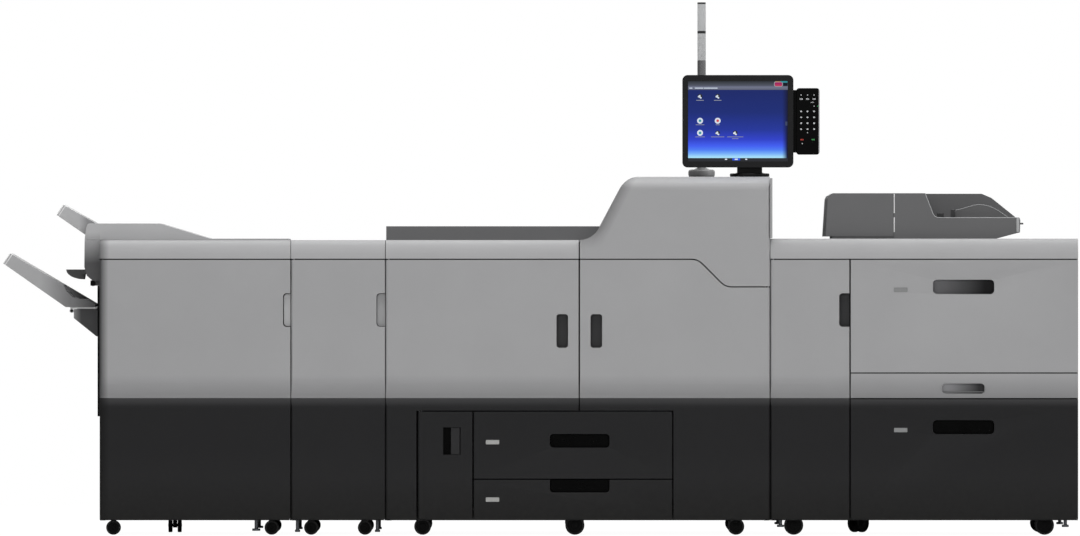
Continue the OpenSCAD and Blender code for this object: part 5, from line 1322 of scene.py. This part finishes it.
@dataclass
class ControlPanel(SubAssembly):
    """Touch panel on its neck: housing, lit screen with icons, keypad."""

    title: str = "control panel"
    screen_low: Point = (0.5105, -0.399, 1.288)
    screen_high: Point = (0.8535, -0.3972, 1.564)
    first_row: float = 1.4568  # height of the number keys' top row
    row_step: float = 0.0204
    columns: Point = (0.8995, 0.9215, 0.944)

    def spot(self, across: float, down: float) -> Span:
        """Turn shares of the screen's width and height, from its top left, into X and Z."""
        low, high = self.screen_low, self.screen_high
        return low[0] + across * (high[0] - low[0]), high[2] - down * (high[2] - low[2])

    def tile(self, name: str, across: float, down: float, size: Span, finish: Finish,
             rounding: float = 0.0, lift: float = 0.0) -> Piece:
        """Make a flat shape of the screen's picture.

        Args:
            name: Its name.
            across: Share of its middle from the left side.
            down: Share of its middle from the top.
            size: Its width and height.
            finish: Its finish.
            rounding: Radius of its corners.
            lift: How far it lies above the other shapes.

        Returns:
            The dressed shape.
        """
        (x, z), (width, height) = self.spot(across, down), size
        y = self.screen_low[1] - 0.0003 - lift
        shape = block(name, (x - width / 2, y, z - height / 2), (x + width / 2, y + 0.0006, z + height / 2))
        return dress(round_edges(shape, BACKWARD, rounding, 4) if rounding else shape, finish)

    def captions(self, across: float, down: float, widths: Sequence[float]) -> list[Piece]:
        """Make the caption bars of some widths under an icon at a place on the screen."""
        return [self.tile("caption", across, down + 0.05 + 0.022 * row, (width, 0.0021), Finish.ICON_GREY, 0.001)
                for row, width in enumerate(widths)]

    def icon(self, across: float, down: float, mark: Finish, width: float) -> list[Piece]:
        """Make a pale round icon with a plain mark and a caption bar.

        Args:
            across: Share of its middle from the left side.
            down: Share of its middle from the top.
            mark: Finish of its mark.
            width: Width of its caption bar.

        Returns:
            Its dressed shapes.
        """
        middle, y = self.spot(across, down), self.screen_low[1]
        disc = button("icon", middle, (y + 0.0003, y - 0.0003), 0.0102, 0.0012, 0.0001, 24)
        dot = button("mark", middle, (y + 0.0002, y - 0.0004), 0.0048, 0.0008, 0.0001, 12)
        return [dress(disc, Finish.ICON_WHITE), dress(dot, mark), *self.captions(across, down, (width,))]

    def glyph(self, across: float, down: float, widths: Sequence[float]) -> list[Piece]:
        """Make a grey tool icon: a dark disc with two slanted pale bars, and caption bars.

        Args:
            across: Share of its middle from the left side.
            down: Share of its middle from the top.
            widths: Width of each caption bar.

        Returns:
            Its dressed shapes.
        """
        (x, z), y = self.spot(across, down), self.screen_low[1]
        shapes = [dress(button("glyph", (x, z), (y + 0.0003, y - 0.0002), 0.0082, 0.001, 0.0001, 20),
                        Finish.SCREEN_FOOT)]
        for turn, right, up, half in ((-40, -0.002, 0.002, 0.0052), (35, 0.0035, -0.0028, 0.0044)):
            bar = plate("glyph_bar", (x + right - half, y - 0.0005, z + up - 0.0027),
                        (x + right + half, y, z + up + 0.0027), 0.0024)
            bar.data.transform(Matrix.Translation((x, 0, z)) @ Matrix.Rotation(math.radians(turn), 4, "Y")
                               @ Matrix.Translation((-x, 0, -z)))
            shapes.append(dress(bar, Finish.ICON_WHITE))
        return shapes + self.captions(across, down, widths)

    def picture(self) -> None:
        """Lay a plain start page on the screen: bars, a badge, seven icons and a tab."""
        pale, teal, red = Finish.ICON_WHITE, Finish.ICON_TEAL, Finish.ICON_RED
        shapes = [self.tile("top_bar", 0.5, 0.0355, (0.343, 0.0196), Finish.SCREEN_BAR),
                  self.tile("top_band", 0.5, 0.0957, (0.343, 0.0136), Finish.SCREEN_BAND),
                  self.tile("foot_bar", 0.5, 0.9907, (0.343, 0.0115), Finish.SCREEN_FOOT),
                  self.tile("foot_tab", 0.483, 0.985, (0.027, 0.0078), Finish.ICON_BLUE, 0.001, 0.0003),
                  self.tile("pull_tab", 0.985, 0.54, (0.007, 0.014), Finish.ICON_SLATE, 0.001, 0.0003),
                  self.tile("badge_rim", 0.906, 0.048, (0.03, 0.018), Finish.ICON_GREY, 0.006, 0.0003),
                  self.tile("badge", 0.906, 0.05, (0.0255, 0.0135), red, 0.004, 0.0006),
                  self.tile("badge_top", 0.9, 0.017, (0.018, 0.0025), Finish.ICON_AMBER, 0.001, 0.0003),
                  self.tile("clock", 0.962, 0.02, (0.024, 0.0055), teal, 0.001, 0.0003),
                  self.tile("clock_field", 0.975, 0.052, (0.015, 0.011), Finish.ICON_NAVY, 0.001, 0.0003)]
        for across, width in ((0.028, 0.011), (0.11, 0.03), (0.205, 0.032), (0.27, 0.018)):
            shapes.append(self.tile("title", across, 0.098, (width, 0.0032), pale, 0.0013, 0.0003))
        for across, down, mark, width in ((0.12, 0.505, teal, 0.03), (0.297, 0.505, red, 0.014),
                                          (0.12, 0.656, teal, 0.033)):
            shapes += self.icon(across, down, mark, width)
        for across, down, widths in ((0.12, 0.2, (0.026,)), (0.297, 0.2, (0.026,)), (0.297, 0.656, (0.046,)),
                                     (0.473, 0.656, (0.056, 0.022))):
            shapes += self.glyph(across, down, widths)
        for across, width in ((0.381, 0.008), (0.483, 0.011), (0.583, 0.007)):
            shapes.append(self.tile("foot_mark", across, 0.985, (width, 0.0042), pale, 0.0015, 0.0006))
        self.place(merge("screen_picture", shapes), "panel_screen")

    def key(self, x: float, z: float, width: float, height: float, marks: int = 1,
            finish: Finish = Finish.KEY_GREY) -> list[Piece]:
        """Make a flat membrane key with small printed marks.

        Args:
            x: Its middle across.
            z: Its middle up.
            width: Its width.
            height: Its height.
            marks: How many marks stand side by side.
            finish: Finish of its marks.

        Returns:
            Its dressed shapes.
        """
        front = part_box("keypad")[0][1]
        cap = plate("key", (x - width / 2, front - 0.0007, z - height / 2),
                    (x + width / 2, front + 0.001, z + height / 2), min(width, height) * 0.3)
        sink(cap, looks_forward, 0.0012, (0, 0.0004, 0), 0.96)
        shapes = [dress(cap, Finish.GLOSS_BLACK)]
        step = width * 0.66 / marks
        for number in range(marks):
            left = x + (number - marks / 2) * step + step * 0.14
            mark = plate("mark", (left, front - 0.0006, z - height * 0.2),
                         (left + step * 0.72, front, z + height * 0.22), min(step * 0.3, height * 0.15), 3)
            shapes.append(dress(mark, finish))
        return shapes

    def keys(self) -> None:
        """Build the keypad: body with its bright side, holder, flat keys and the ready light."""
        side = 0.9595
        body = self.cover("keypad", Finish.GLOSS_BLACK, 0.002)
        split_at(body, (side, 0, 0), ACROSS)
        paint(body, Finish.BASE_ABS, within(x=(side, math.inf)))
        holder = block("keypad_holder", (0.8732, -0.392, 1.315), (0.8845, -0.3805, 1.5305))
        sink(holder, looks_forward, 0.0015, (0, 0.001, 0))
        self.add(holder, "keypad", Finish.GLOSS_BLACK, 0.0008)
        layout = [(x, self.first_row - row * self.row_step, 0.0125, 0.0125) for row in range(4) for x in self.columns]
        for x in self.columns:
            layout += [(x, 1.5133, 0.009, 0.0075), (x, 1.4993, 0.0165, 0.0115, 3)]
        layout += [(0.9375, 1.488, 0.017, 0.006, 4), (0.944, 1.475, 0.007, 0.007), (0.9215, 1.3835, 0.007, 0.0095),
                   (0.9035, 1.346, 0.007, 0.0095), (0.9026, 1.3595, 0.018, 0.0115, 2, Finish.KEY_RED),
                   (0.9407, 1.3595, 0.017, 0.0105, 2, Finish.KEY_GREEN)]
        self.place(merge("keypad_caps", [shape for key in layout for shape in self.key(*key)]), "keypad")
        led = button("ready_led", (0.957, 1.475), (-0.397, -0.3986), 0.0013, 0.0004, -0.0003, 16)
        self.add(led, "keypad", Finish.LED_GREEN)

    def build(self) -> None:
        """Build the control panel."""
        self.cover("panel_stand", Finish.BLACK_ABS, 0.003)
        foot = rod("stand_collar", (0.723, -0.33, 1.2392), (0.723, -0.33, 1.2462), 0.062, end_radius=0.046)
        self.add(foot, "panel_stand", Finish.SHADE_ABS, 0.001)
        self.cover("panel_neck", Finish.BLACK_ABS, 0.002)
        self.cover("panel_housing", Finish.PANEL_ABS, 0.005)
        self.keep(Finish.SCREEN, "panel_screen")
        self.picture()
        self.keys()


@dataclass
class SignalLight(SubAssembly):
    """Signal light: base, pole and two ribbed lenses."""

    title: str = "signal light"
    rib: float = 0.0062
    ribs: int = 15
    radius: float = 0.0143
    length: float = 0.0926  # the upper lens hangs this far down from the top

    def build(self) -> None:
        """Build the signal light."""
        # The foot and the pole carry painted shade on their left sides.
        self.cover("beacon_base", Finish.BASE_ABS, 0.008)
        collar = rod("beacon_collar", (0.56, -0.07, 1.2592), (0.56, -0.07, 1.2652), 0.026, end_radius=0.0165)
        self.add(collar, "beacon_pole", Finish.TUBE_ABS, 0.0008)
        pole = self.cover("beacon_pole", Finish.TUBE_ABS, 0.001)
        paint(pole, Finish.SHADE_ABS, within(z=(1.725, math.inf)))
        low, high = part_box("beacon_lenses")
        x, y = (low[0] + high[0]) / 2, (low[1] + high[1]) / 2
        rings = []
        for start in (low[2], high[2] - self.length):
            ring = rod("rib", (x, y, start), (x, y, start + self.rib), self.radius, 36)
            sink(ring, lambda c, n: abs(n.z) > FACING, 0.0075, (0, 0, 0))
            soften(ring, 0.0012)
            rings.append(repeat("lens", ring, [(0, 0, i * self.rib) for i in range(self.ribs)]))
        self.place(dress(merge("beacon_lens_pair", rings), Finish.LENS), "beacon_lenses", True)


@dataclass
class FinisherOutput(SubAssembly):
    """Output side: hood, exit head, flap, roller, trays, carriage and rails."""

    title: str = "finisher output"
    stripes: tuple[float, ...] = (0.0028, 0.0075, 0.0103)  # where the end's stripes end, start and end

    def tray(self, node: str, top: Span, foot: Span, finish: Finish) -> Piece:
        """Make an output tray with two white stripes round its outer end.

        Args:
            node: The tray's node.
            top: X and Z of its end's upper corner.
            foot: X and Z of its end's lower corner.
            finish: Its finish.

        Returns:
            The placed tray.
        """
        end = Vector((top[0] - foot[0], 0, top[1] - foot[1])).normalized()
        inward = Vector((end.z, 0, -end.x))
        start = Vector((top[0], 0, top[1]))
        piece = solid_copy(node)
        for far in self.stripes:
            split_at(piece, tuple(start + inward * far), tuple(inward))
        dress(piece, finish)

        def striped(c: Vector, _: Vector) -> bool:
            """Tell whether a face lies in one of the two stripes."""
            far = (c - start).dot(inward)
            return far < self.stripes[0] or self.stripes[1] < far < self.stripes[2]
        paint(piece, Finish.STRIPE_ABS, striped)
        return self.place(soften(piece, 0.0024), node, True)

    def outlet(self) -> None:
        """Build the hood and the exit head with its flap, roller and roller cap."""
        hood = self.cover("finisher_hood", Finish.HOOD_ABS, 0.004)
        # The hood's part left of the cabinet takes the head's painted shade towards its foot.
        second_tone(hood, Finish.HEAD_ABS, ACROSS, -1.513)
        self.cover("exit_head", Finish.HEAD_ABS, 0.003)
        self.cover("exit_flap", Finish.FLAP_ABS, 0.001)
        self.cover("exit_roller", Finish.ROLLER_RUBBER, 0.0008)
        cap = button("roller_cap", (-1.537, 0.8647), (-0.3905, -0.3928), 0.0092, 0.0025, 0.0008)
        self.add(cap, "exit_head", Finish.HUB_ABS, 0.0004)

    def trays(self) -> None:
        """Build the proof tray and the shift tray."""
        # Both trays carry painted shade towards the finisher.
        self.tray("proof_tray", (-1.643, 1.137), (-1.667, 1.102), Finish.TRAY_ABS)
        shift = self.tray("shift_tray", (-1.827, 0.969), (-1.851, 0.934), Finish.SHIFT_ABS)
        paint(shift, Finish.STRIPE_ABS, lambda c, n: c.z < 0.785 and n.z < -0.5)

    def lift(self) -> None:
        """Build the tray's carriage with its shelf and knob, and the rails."""
        # The carriage carries painted shade towards the finisher.
        self.cover("tray_carriage", Finish.RACK_ABS, 0.001)
        self.cover("lift_rails", Finish.HUB_ABS, 0.0008)
        tops = []
        for y in (-0.2082, 0.0118):
            top = block("rail_top", (-1.5265, y, 0.787), (-1.5137, y + 0.0242, 0.8565))
            sink(top, looks_forward, 0.0025, (0, 0.004, 0))
            tops.append(top)
        self.add(merge("rail_tops", tops), "lift_rails", Finish.HUB_ABS)
        edge = block("rail_edge", (-1.5152, -0.2095, 0.395), (-1.5136, -0.2082, 0.815))
        self.add(edge, "lift_rails", Finish.ZINC, 0.0004)
        shelf = block("carriage_shelf", (-1.6215, -0.1995, 0.7776), (-1.528, 0.0275, 0.7824))
        sink(shelf, looks_up, 0.003, (0, 0, -0.001))
        self.add(shelf, "tray_carriage", Finish.STRIPE_ABS, 0.0008)
        knob = button("carriage_knob", (-1.6155, 0.7705), (-0.2015, -0.1985), 0.0075, 0.0022, 0.0012, 24)
        dress(knob, Finish.STRIPE_ABS)
        paint(knob, Finish.SEAL, lambda c, n: looks_forward(c, n) and c.y > -0.2008)
        self.place(soften(knob, 0.0004), "tray_carriage")

    def build(self) -> None:
        """Build the output side."""
        self.outlet()
        self.trays()
        self.lift()
        self.cover("stapler_unit", Finish.ZINC, 0.0)


@dataclass
class FeederTop(SubAssembly):
    """Feeder's top: cover, platen glass and document feeder with its cover, tray and guides."""

    title: str = "feeder top"
    mouth_front: float = -0.3902
    guide_front: float = -0.3202
    guide_foot: float = 1.0885
    guide_thickness: float = 0.002

    def build(self) -> None:
        """Build the feeder's top."""
        # The top cover takes the lighter grey of painted light.
        self.cover("feeder_top_cover", Finish.LIP_ABS, 0.001)
        self.keep(Finish.PLATEN, "platen_glass")
        body = self.cover("document_feeder", Finish.FEED_ABS, 0.002)
        paint(body, Finish.ROLLER_RUBBER, within((1.04, 1.19), (-0.385, 0.1), (1.045, 1.095), 0.5))
        self.cover("document_cover", Finish.LID_ABS, 0.002)
        self.cover("document_tray", Finish.FEED_ABS, 0.0012)
        self.edge_highlights_and_stops()
        self.guide()

    def edge_highlights_and_stops(self) -> None:
        """Build the pale strips of painted highlight along the feeder's mouth, lid seam and right end, and its stops.
        """
        mouth = ((1.3266, 1.1735), (1.347, 1.122), (1.352, 1.107), (1.358, 1.0975), (1.367, 1.0925),
                 (1.378, 1.0912), (1.6425, 1.0912))
        # Painted highlight along the lit edge of the feeder's mouth.
        trim = drawn("mouth_highlight", [(x, self.mouth_front, z) for x, z in mouth], 0.0012)
        self.add(trim, "document_feeder", Finish.EDGE_ABS)
        # Painted highlight: white strips at the seam between lid and body, where the lid's edge catches the light.
        seams = [round_edges(block("seam", (1.2183, -0.3915, low), (1.2217, -0.3875, high)), UPWARD, 0.0008, 3)
                 for low, high in ((1.107, 1.1735), (1.042, 1.0925))]
        self.add(merge("lid_seam_highlight", seams), "document_feeder", Finish.STRIPE_ABS)
        # Painted highlight at the feeder's lit right end.
        cap = block("feeder_end_highlight", (1.6405, -0.3925, 1.0415), (1.6508, -0.388, 1.0925))
        self.add(cap, "document_feeder", Finish.EDGE_ABS, 0.0018)
        stops = []
        for x0, x1, top in ((1.3675, 1.391, 1.1065), (1.4145, 1.4295, 1.119)):
            stop = block("stop", (x0, -0.376, 1.0885), (x1, -0.352, top))
            sink(stop, looks_up, 0.003, (0, 0, 0.0008), 0.8)
            stops.append(stop)
        self.add(merge("feeder_stops", stops), "document_feeder", Finish.SIDE_GRIP, 0.0015)

    def guide(self) -> None:
        """Build the tray's near paper guide and a pale strip of painted highlight along its upper edge."""
        y, foot = self.guide_front, self.guide_foot
        line = [(1.4335, 1.1175), (1.455, 1.1222), (1.478, 1.1292), (1.497, 1.1345), (1.512, 1.1362),
                (1.53, 1.1352), (1.548, 1.131), (1.566, 1.1235), (1.59, 1.109), (1.615, 1.0915)]
        outline = [(x, y, z) for x, z in ((1.4335, foot), *line, (1.615, foot))]
        self.add(drawn("near_guide", outline, 0.0004, self.guide_thickness), "document_tray", Finish.FEED_ABS)
        trim = drawn("guide_highlight", [(x, y - 0.0008, z) for x, z in line], 0.001)
        self.add(trim, "document_tray", Finish.EDGE_ABS)


@dataclass
class InnerUnits(SubAssembly):
    """Units behind the doors: imaging, transfer, fuser and power."""

    title: str = "inner units"
    roller_reach: Span = (-0.395, 0.095)
    contact_reach: Span = (0.4345, 0.4535)

    def build(self) -> None:
        """Build the inner units."""
        imaging = self.cover("imaging_unit", Finish.BLACK_ABS, 0.001)
        paint(imaging, Finish.TURNED_STEEL, within(y=self.roller_reach, z=(-math.inf, 0.72), depthwise=0.5))
        belt = self.cover("transfer_unit", Finish.BELT_FILM, 0.0)
        paint(belt, Finish.ZINC, lambda c, n: abs(n.y) > FACING)
        fuser = self.cover("fuser_unit", Finish.ZINC, 0.001)
        paint(fuser, Finish.ROLLER_RUBBER, within(x=(0.5, 0.67), z=(0.49, 0.625), depthwise=0.5))
        power = self.cover("power_unit", Finish.FRAME_PAINT, 0.001)
        paint(power, Finish.BLACK_ABS, within(y=(0.42, math.inf)))
        paint(power, Finish.COPPER_ALLOY, within((-0.283, -0.26), self.contact_reach, (0.193, 0.209)))


@dataclass(frozen=True)
class CasterRow:
    """One row of twin wheels: its node, place across, wheel radius, places in depth, turn in degrees."""

    node: str
    x: float
    radius: float
    depths: tuple[float, ...]
    turn: float = 0.0


@dataclass
class Casters(SubAssembly):
    """Twin wheels of the casters: tread, dished disc and hub."""

    title: str = "casters"
    width: float = 0.014
    offset: float = 0.016
    near: float = -0.371
    far: float = 0.199
    engine: Span = (-0.375, 0.375)

    def rows(self) -> list[CasterRow]:
        """List the rows of wheels.

        Returns:
            The rows, from the finisher to the feeder.
        """
        both = (self.near, self.far)
        return [CasterRow("finisher_wheels_left", -1.467, 0.025, (self.near,)),
                CasterRow("finisher_wheels_middle", -1.267, 0.025, (self.far,), 90.0),
                CasterRow("finisher_wheels_right", -0.922, 0.025, both),
                CasterRow("pass_wheels_left", -0.786, 0.025, both),
                CasterRow("pass_wheels_right", -0.601, 0.025, both),
                CasterRow("engine_wheels_left", -0.403, 0.029, self.engine),
                CasterRow("engine_wheels_middle", 0.121, 0.033, self.engine),
                CasterRow("engine_wheels_right", 0.675, 0.029, self.engine),
                CasterRow("feeder_wheels_left", 0.874, 0.033, (self.near,)),
                CasterRow("feeder_wheels_middle", 1.107, 0.033, (self.far,), 50.0),
                CasterRow("feeder_wheels_right", 1.737, 0.033, both)]

    def flat(self, side: int) -> FaceTest:
        """Make a test for the flat middle of a wheel's side, which is 1 or -1."""
        return lambda c, n: n.y * side > 0.99 and abs(c.x) < 1e-3 and abs(c.z) < 1e-3

    def wheel(self, radius: float) -> Piece:
        """Model one wheel about the origin, its axle along Y.

        Args:
            radius: The wheel's radius.

        Returns:
            The wheel, dressed.
        """
        wheel = rod("wheel", (0, -self.width / 2, 0), (0, self.width / 2, 0), radius, 40)
        modify(wheel, "BEVEL", width=0.0028, segments=3, limit_method="ANGLE", angle_limit=math.radians(50))
        for side in (-1, 1):
            sink(wheel, self.flat(side), 0.004, (0, -side * 0.0025, 0), 0.94)
            sink(wheel, self.flat(side), radius * 0.35, (0, side * 0.0018, 0), 0.9)
        dress(wheel, Finish.TREAD)
        paint(wheel, Finish.HUB_ABS, lambda c, n: math.hypot(c.x, c.z) < radius - 0.0066)
        return soften(wheel, 0.0)

    def build(self) -> None:
        """Build the wheels of each row."""
        for row in self.rows():
            wheels = []
            turn = Matrix.Rotation(math.radians(row.turn), 4, "Z")
            for depth in row.depths:
                for side in (-1, 1):
                    wheel = self.wheel(row.radius)
                    wheel.data.transform(Matrix.Translation((row.x, depth, row.radius)) @ turn
                                         @ Matrix.Translation((0, side * self.offset, 0)))
                    wheels.append(wheel)
            self.place(merge(f"{row.node}_set", wheels), row.node, True)


@dataclass(frozen=True)
class Lamp:
    """A soft lamp: its name, where it hangs, what it points at, its width and height, its watts."""

    name: str
    place: Point
    aim: Point
    size: Span
    power: float

    def hang(self) -> None:
        """Hang the lamp."""
        data = bpy.data.lights.new(self.name, "AREA")
        data.shape, data.energy = "RECTANGLE", self.power
        data.size, data.size_y = self.size
        lamp = bpy.data.objects.new(self.name, data)
        bpy.context.collection.objects.link(lamp)
        lamp.location = self.place
        lamp.rotation_euler = (Vector(self.aim) - Vector(self.place)).to_track_quat("-Z", "Y").to_euler()


@dataclass
class Studio:
    """Pale floor, white surround, soft lamps and a camera far in front."""

    width: float = 3.7125
    centre: Point = (0.001, 0.0, 0.918)
    distance: float = 60.0
    sensor: float = 36.0
    floor_size: float = 14.0
    floor_glow: float = 1.05
    floor_share: float = 0.93  # how much of the glow the camera sees in the floor
    ambient: float = 0.3

    def camera(self) -> None:
        """Put the camera square to the front."""
        data = bpy.data.cameras.new("front camera")
        data.sensor_width = self.sensor
        data.lens = self.sensor * self.distance / self.width
        data.clip_end = 500.0
        camera = bpy.data.objects.new("front camera", data)
        bpy.context.collection.objects.link(camera)
        camera.location = (self.centre[0], -self.distance + ENGINE_FACE, self.centre[2])
        camera.rotation_euler = (math.radians(90), 0, 0)
        bpy.context.scene.camera = camera

    def floor(self) -> None:
        """Lay a floor that is lit like any other but looks nearly white to the camera."""
        material, tree, place = new_tree("pale matt floor")
        specks = add_node(tree, "ShaderNodeTexNoise", {"Vector": place, "Scale": 3.0})
        tone = add_node(tree, "ShaderNodeValToRGB", {"Fac": specks.outputs["Fac"]},
                        [(0.0, linear("#f2f2f2")), (1.0, linear("#f7f7f7"))])
        matt = add_node(tree, "ShaderNodeBsdfPrincipled", {"Base Color": tone.outputs["Color"], "Roughness": 0.9})
        glow = add_node(tree, "ShaderNodeEmission", {"Color": (1, 1, 1, 1), "Strength": self.floor_glow})
        path = add_node(tree, "ShaderNodeLightPath")
        seen = add_node(tree, "ShaderNodeMath", {0: path.outputs["Is Camera Ray"], 1: self.floor_share},
                        operation="MULTIPLY")
        both = add_node(tree, "ShaderNodeMixShader", {"Fac": seen.outputs[0], 1: matt.outputs["BSDF"],
                                                      2: glow.outputs["Emission"]})
        add_node(tree, "ShaderNodeOutputMaterial", {"Surface": both.outputs[0]})
        clear()
        bpy.ops.mesh.primitive_plane_add(size=self.floor_size, location=(0, 0, 0))
        floor = settle("studio_floor")
        floor.data.materials.append(material)

    def surround(self) -> None:
        """Light the world: white for the camera and through glass, soft for all else."""
        world = bpy.data.worlds.new("studio")
        bpy.context.scene.world = world
        world.use_nodes = True
        tree = world.node_tree
        tree.nodes.clear()
        path = add_node(tree, "ShaderNodeLightPath")
        straight = add_node(tree, "ShaderNodeMath", {0: path.outputs["Is Camera Ray"],
                                                     1: path.outputs["Is Transmission Ray"]}, operation="MAXIMUM")
        soft, plain = (add_node(tree, "ShaderNodeBackground", {"Color": (1, 1, 1, 1), "Strength": strength})
                       for strength in (self.ambient, 1.0))
        mixed = add_node(tree, "ShaderNodeMixShader", {"Fac": straight.outputs[0], 1: soft.outputs[0],
                                                       2: plain.outputs[0]})
        add_node(tree, "ShaderNodeOutputWorld", {"Surface": mixed.outputs[0]})

    def build(self) -> None:
        """Build the studio."""
        bpy.context.scene.view_settings.view_transform = "Standard"
        self.camera()
        self.floor()
        self.surround()
        for lamp in (Lamp("top lamp", (0, -1.2, 4.6), (0, -0.2, 0.8), (8.0, 2.6), 255.0),
                     Lamp("front lamp", (-0.2, -6.5, 2.4), (-0.1, 0, 0.8), (9.0, 2.6), 91.0),
                     Lamp("right lamp", (6.5, -0.7, 2.6), (0.6, -0.2, 1.2), (2.5, 2.0), 70.0),
                     Lamp("back lamp", (0, 5.0, 3.2), (0, 0, 0.8), (7.0, 2.0), 95.0)):
            lamp.hang()


def main() -> None:
    """Build each sub-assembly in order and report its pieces."""
    logging.basicConfig(level=logging.INFO, format="%(message)s")
    Studio().build()
    parts: list[SubAssembly] = [FrontCovers(), Cabinets(), EngineTop(), ControlPanel(), SignalLight(),
                                FinisherOutput(), FeederTop(), InnerUnits(), Casters()]
    for part in parts:
        part.build()
        part.report()


if __name__ == "__main__":
    main()
